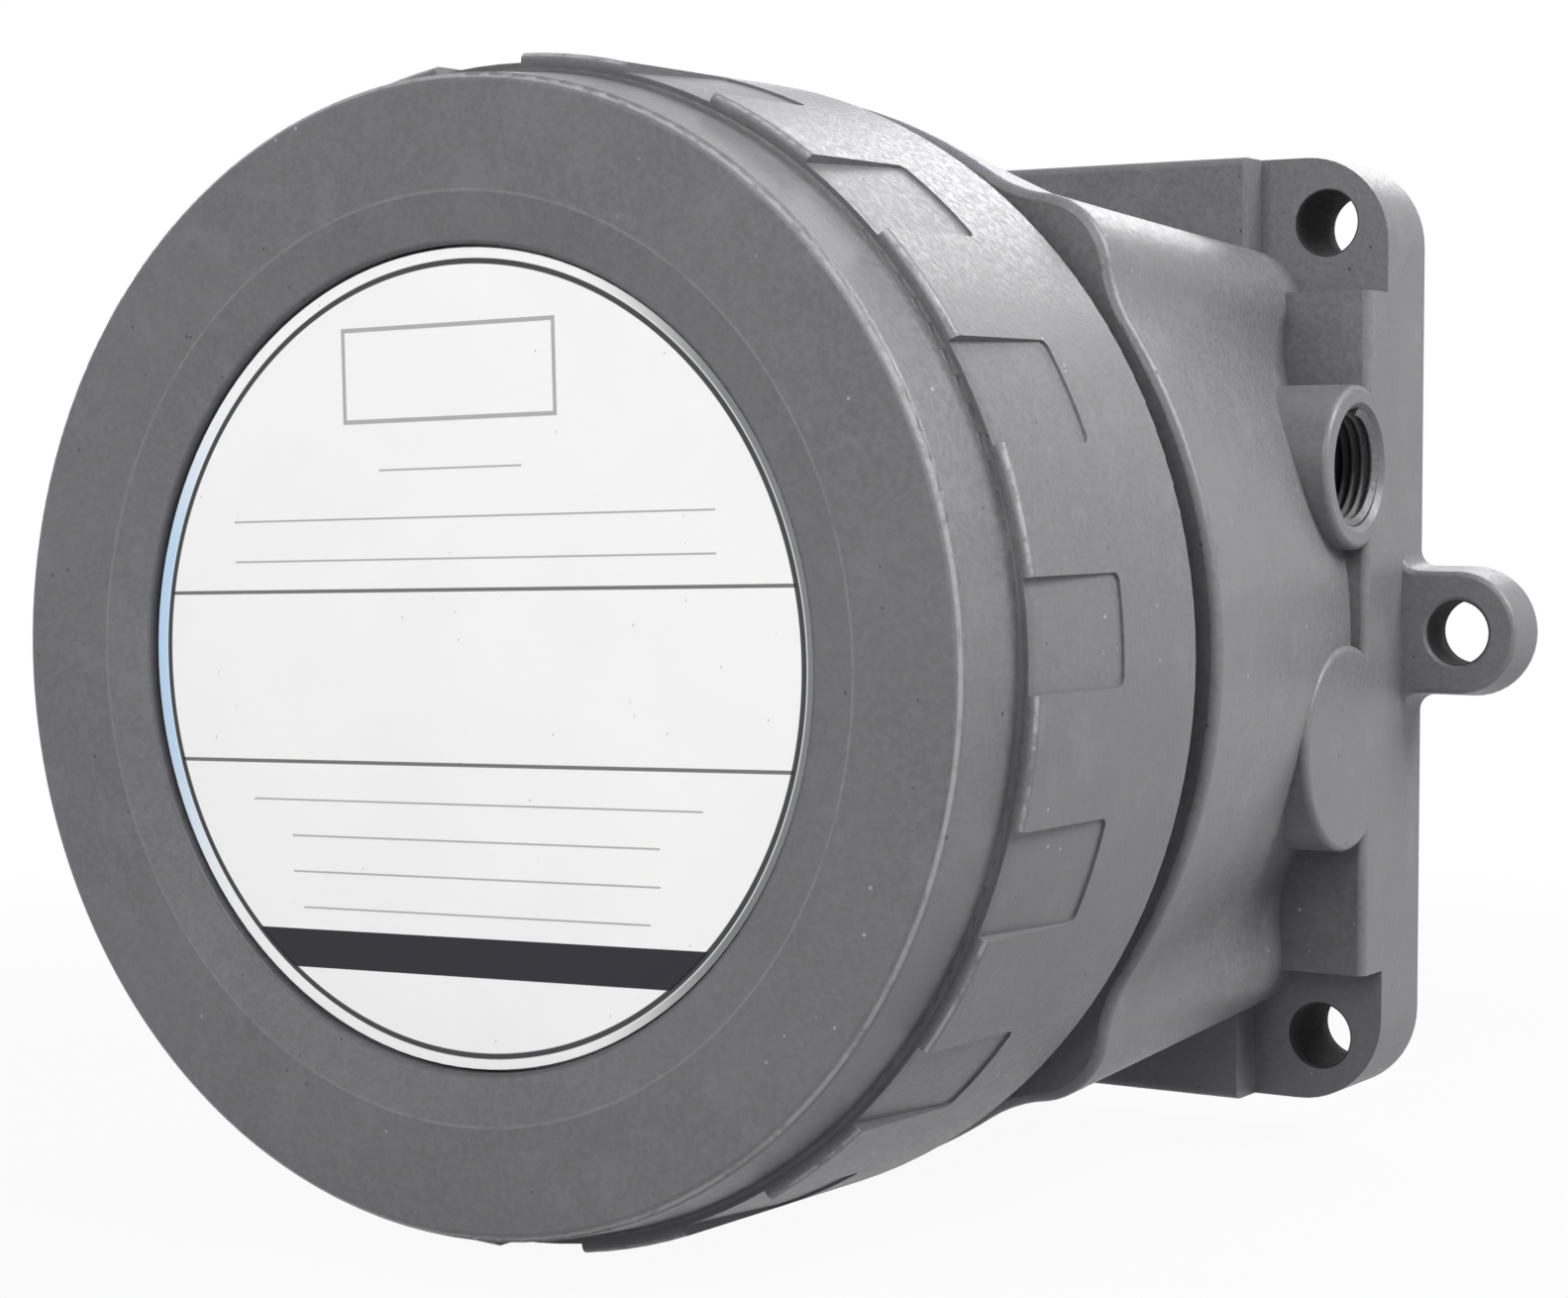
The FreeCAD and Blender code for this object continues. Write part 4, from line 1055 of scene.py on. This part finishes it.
@dataclass(frozen=True)
class MovingDiaphragm:
    """The diaphragm, with its rim clamped and its middle on the push rod."""

    name: str = "diaphragm_skin"
    node: str = "diaphragm"
    rim_y: float = -41.75
    middle_y: float = -44.25

    def build(self) -> bpy.types.Object:
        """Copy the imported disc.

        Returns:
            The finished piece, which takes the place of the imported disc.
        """
        shape = bmesh.new()
        shape.from_mesh(frame["nodes"][self.node].data)
        bmesh.ops.remove_doubles(shape, verts=shape.verts, dist=1e-6)
        made = as_object(self.name, shape)
        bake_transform(made)
        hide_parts(self.node)
        return made


@dataclass
class Assembly:
    """A sub-assembly: the parts that it dresses and the pieces that it adds."""

    wardrobe: Wardrobe
    wears: ClassVar[dict[str, Wear]] = {}

    def pieces(self) -> Sequence[tuple[Wear, Piece]]:
        """Return the added pieces with their finishes; a sub-assembly may have none."""
        return []

    def build(self) -> list[str]:
        """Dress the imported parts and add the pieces.

        Returns:
            The names of all its parts.
        """
        for name, wear in self.wears.items():
            self.wardrobe.put(wear, frame["nodes"][name])
        pieces = self.pieces()
        for wear, piece in pieces:
            self.wardrobe.put(wear, piece.build())
        return list(self.wears) + [piece.name for _, piece in pieces]


@dataclass
class HousingUnit(Assembly):
    """The cast housing with its ports, and the ground screw."""

    neck_r: float = 88.0
    neck_ridge: float = 0.28
    neck_span: Pair = (27.0, 74.5)
    neck_pitch: float = 2.0
    neck_steps: int = 120
    side_x: float = 87.0
    mouth_gap: float = 0.4
    conduit_ridge: float = 1.1
    conduit_length: float = 13.6
    conduit_pitch: float = 1.814
    conduit_steps: int = 72
    pressure_ports: tuple[tuple[str, float, float], ...] = (("high_port_thread", *CONDUIT),
                                                            ("low_port_thread", -34.0, -20.0))
    pressure_r: float = 5.6
    pressure_ridge: float = 0.6
    pressure_length: float = 11.0
    pressure_pitch: float = 1.411
    pressure_steps: int = 48
    wears: ClassVar[dict[str, Wear]] = {"housing": Wear.HOUSING, "ground_screw": Wear.BRASS}

    def pieces(self) -> Sequence[tuple[Wear, Piece]]:
        """Size the threads.

        Returns:
            The neck thread and the threads of the three ports, with their finishes.
        """
        first, last = self.neck_span
        mouth = self.side_x - self.mouth_gap
        neck = Thread("neck_thread", start=(0.0, first - FRONT_DEPTH, 0.0), along=(0.0, 1.0, 0.0),
                      wall_r=self.neck_r, crest_r=self.neck_r + self.neck_ridge, length=last - first,
                      pitch=self.neck_pitch, steps=self.neck_steps)
        conduit = Thread("conduit_thread", start=(mouth, *CONDUIT), along=(-1.0, 0.0, 0.0),
                         wall_r=CONDUIT_R, crest_r=CONDUIT_R - self.conduit_ridge,
                         length=self.conduit_length, pitch=self.conduit_pitch, steps=self.conduit_steps)
        ports = [Thread(name, start=(-mouth, y, z), along=(1.0, 0.0, 0.0), wall_r=self.pressure_r,
                        crest_r=self.pressure_r - self.pressure_ridge, length=self.pressure_length,
                        pitch=self.pressure_pitch, steps=self.pressure_steps)
                 for name, y, z in self.pressure_ports]
        return [(Wear.NECK, neck)] + [(Wear.TAPPED, thread) for thread in (conduit, *ports)]


@dataclass
class CoverUnit(Assembly):
    """The screwed cover with its seal, window and printed plate."""

    wears: ClassVar[dict[str, Wear]] = {
        "cover": Wear.COVER, "cover_o_ring": Wear.RUBBER, "window_glass": Wear.GLASS,
        "window_gasket": Wear.RUBBER, "window_retaining_ring": Wear.ZINC_RING,
        "window_ring_screws": Wear.STEEL, "nameplate": Wear.PLATE}


@dataclass
class PressureCapsule(Assembly):
    """The diaphragm between its two shells, with rod, bush and tubes."""

    wears: ClassVar[dict[str, Wear]] = {
        "chassis_plate": Wear.ZINC_SHEET, "chassis_screws": Wear.STEEL,
        "capsule_rear_shell": Wear.ALUMINIUM, "capsule_front_shell": Wear.ALUMINIUM,
        "capsule_screws": Wear.STEEL, "diaphragm": Wear.FABRIC, "diaphragm_rear_plate": Wear.ALUMINIUM,
        "diaphragm_front_plate": Wear.ALUMINIUM, "push_rod": Wear.ROD, "guide_bush": Wear.BRASS,
        "high_pressure_tube": Wear.COPPER, "low_pressure_tube": Wear.COPPER}

    def pieces(self) -> Sequence[tuple[Wear, Piece]]:
        """Return the copied diaphragm."""
        return [(Wear.FABRIC, MovingDiaphragm())]


@dataclass
class SetPointGear(Assembly):
    """The range spring with its seat, screw, bridge and scale."""

    wears: ClassVar[dict[str, Wear]] = {
        "actuator_plate": Wear.ZINC_SHEET, "range_spring": Wear.SPRING, "adjuster_seat": Wear.BRASS,
        "set_point_screw": Wear.THREADED, "spring_bridge": Wear.ZINC_SHEET, "bridge_screws": Wear.STEEL,
        "scale_plate": Wear.SCALE, "scale_screws": Wear.STEEL}

    def pieces(self) -> Sequence[tuple[Wear, Piece]]:
        """Return the two parts of the range spring, pressed by the seat and by the actuator plate."""
        return [(Wear.SPRING, SpringPart("range_spring_front", "adjuster", -1.0, 4.5)),
                (Wear.SPRING, SpringPart("range_spring_rear", "actuator", 1.0, 1.5))]


@dataclass
class SwitchGear(Assembly):
    """The snap switch with its bracket, terminals and wires."""

    wears: ClassVar[dict[str, Wear]] = {
        "snap_switch_body": Wear.BLACK, "switch_plunger": Wear.RED, "switch_bracket": Wear.ZINC_SHEET,
        "switch_screws": Wear.STEEL, "bracket_screws": Wear.STEEL, "terminal_block": Wear.BUFF,
        "terminal_screws": Wear.STEEL, "terminal_block_screws": Wear.STEEL, "lead_wires": Wear.WIRE}


@dataclass(frozen=True)
class SoftLamp:
    """A soft rectangular lamp: place and size in metres, power in watts."""

    name: str
    place: Triple
    power: float
    size: Pair

    def build(self, target: Triple) -> None:
        """Hang the lamp and point it.

        Args:
            target: What it points at.
        """
        data = bpy.data.lights.new(self.name, "AREA")
        data.shape = "RECTANGLE"
        data.energy = self.power
        data.size, data.size_y = self.size
        made = bpy.data.objects.new(self.name, data)
        made.location = self.place
        made.rotation_mode = "QUATERNION"
        made.rotation_quaternion = (Vector(target) - Vector(self.place)).to_track_quat("-Z", "Y")
        bpy.context.scene.collection.objects.link(made)


@dataclass(frozen=True)
class Studio:
    """Pale floor, white backdrop, lamps and the photograph's camera, in metres; lens and sensor in mm."""

    floor_z: float = -0.0962
    floor_half: float = 3.0
    floor_colour: Colour = (0.40, 0.40, 0.40)
    floor_pale: Colour = (0.50, 0.50, 0.50)
    floor_grain: float = 6.0
    floor_glow: float = 0.94
    floor_fade: Pair = (0.22, 0.60)
    world_light: float = 0.14
    middle: Triple = (0.0, -0.09, 0.0)
    lens: float = 76.64
    sensor: float = 36.0
    clip: Pair = (0.05, 20.0)
    camera_place: Triple = (0.3199, -0.5905, 0.0287)
    camera_turn: Pair = (32.34, 2.97)
    lamps: tuple[SoftLamp, ...] = (SoftLamp("side_softbox", (0.82, 0.05, 0.72), 15.6, (0.55, 0.55)),
                                   SoftLamp("front_softbox", (0.12, -1.22, 0.55), 10.5, (0.8, 0.6)),
                                   SoftLamp("rear_softbox", (-0.12, 1.10, 0.73), 4.6, (0.6, 0.3)),
                                   SoftLamp("left_softbox", (-1.15, 0.62, 0.30), 9.5, (1.4, 0.6)))

    def backdrop(self) -> None:
        """Light the object evenly from all round and show white behind it."""
        world = bpy.data.worlds.new("studio_world")
        bpy.context.scene.world = world
        world.use_nodes = True
        graph = Graph(world.node_tree)
        light, plain = (
            graph.node("ShaderNodeBackground", None, {"Color": WHITE, "Strength": strength})[0]
            for strength in (self.world_light, 1.0))
        share = graph.looks_at_backdrop()
        both = graph.node("ShaderNodeMixShader", None, {0: share, 1: light, 2: plain})[0]
        graph.node("ShaderNodeOutputWorld", None, {"Surface": both})

    def floor(self) -> None:
        """Lay a pale floor that looks white but keeps the shadow."""
        shape = bmesh.new()
        bmesh.ops.create_grid(shape, x_segments=1, y_segments=1, size=self.floor_half)
        bmesh.ops.translate(shape, verts=shape.verts, vec=(0.0, 0.0, self.floor_z))
        made = as_object("studio_floor", shape)
        shader = Shader("studio_floor")
        where = shader.place()
        x, y, _ = shader.split(where)
        off_y = y - self.middle[1]
        distance = (x * x + off_y * off_y).root()
        grain = shader.noise(where, self.floor_grain, 2.0)
        colour = shader.mix(grain.ramp(0.3, 0.7) * 0.1, self.floor_colour, self.floor_pale)
        shader.set(Base_Color=colour, Roughness=0.9, Specular_IOR_Level=0.0)
        share = shader.looks_at_backdrop() * distance.ramp(*self.floor_fade, self.floor_glow, 1.0)
        glow = shader.node("ShaderNodeEmission", None, {"Color": WHITE, "Strength": 1.0})[0]
        both = shader.node("ShaderNodeMixShader", None, {0: share, 1: shader.surface, 2: glow})[0]
        output = next(node for node in shader.tree.nodes if node.bl_idname == "ShaderNodeOutputMaterial")
        shader.feed(output.inputs["Surface"], both)
        made.data.materials.append(shader.material)

    def camera(self) -> None:
        """Set up the camera of the photograph."""
        data = bpy.data.cameras.new("photo_camera")
        data.sensor_width = self.sensor
        data.lens = self.lens
        data.clip_start, data.clip_end = self.clip
        made = bpy.data.objects.new("photo_camera", data)
        turn, lift = (math.radians(angle) for angle in self.camera_turn)
        back = Vector((math.sin(turn) * math.cos(lift), -math.cos(turn) * math.cos(lift), math.sin(lift)))
        made.location = self.camera_place
        made.rotation_mode = "QUATERNION"
        made.rotation_quaternion = (-back).to_track_quat("-Z", "Y")
        bpy.context.scene.collection.objects.link(made)
        bpy.context.scene.camera = made

    def build(self) -> None:
        """Build the whole studio."""
        self.backdrop()
        self.floor()
        for lamp in self.lamps:
            lamp.build(self.middle)
        self.camera()
        bpy.context.scene.view_settings.view_transform = "Standard"


def main() -> None:
    """Build the sub-assemblies and the studio."""
    wardrobe = Wardrobe()
    for unit in (HousingUnit, CoverUnit, PressureCapsule, SetPointGear, SwitchGear):
        for name in unit(wardrobe).build():
            log.info("%s: %s", unit.__name__, name)
    Studio().build()
    log.info("studio: floor, backdrop, lamps and camera")


if __name__ == "__main__":
    main()
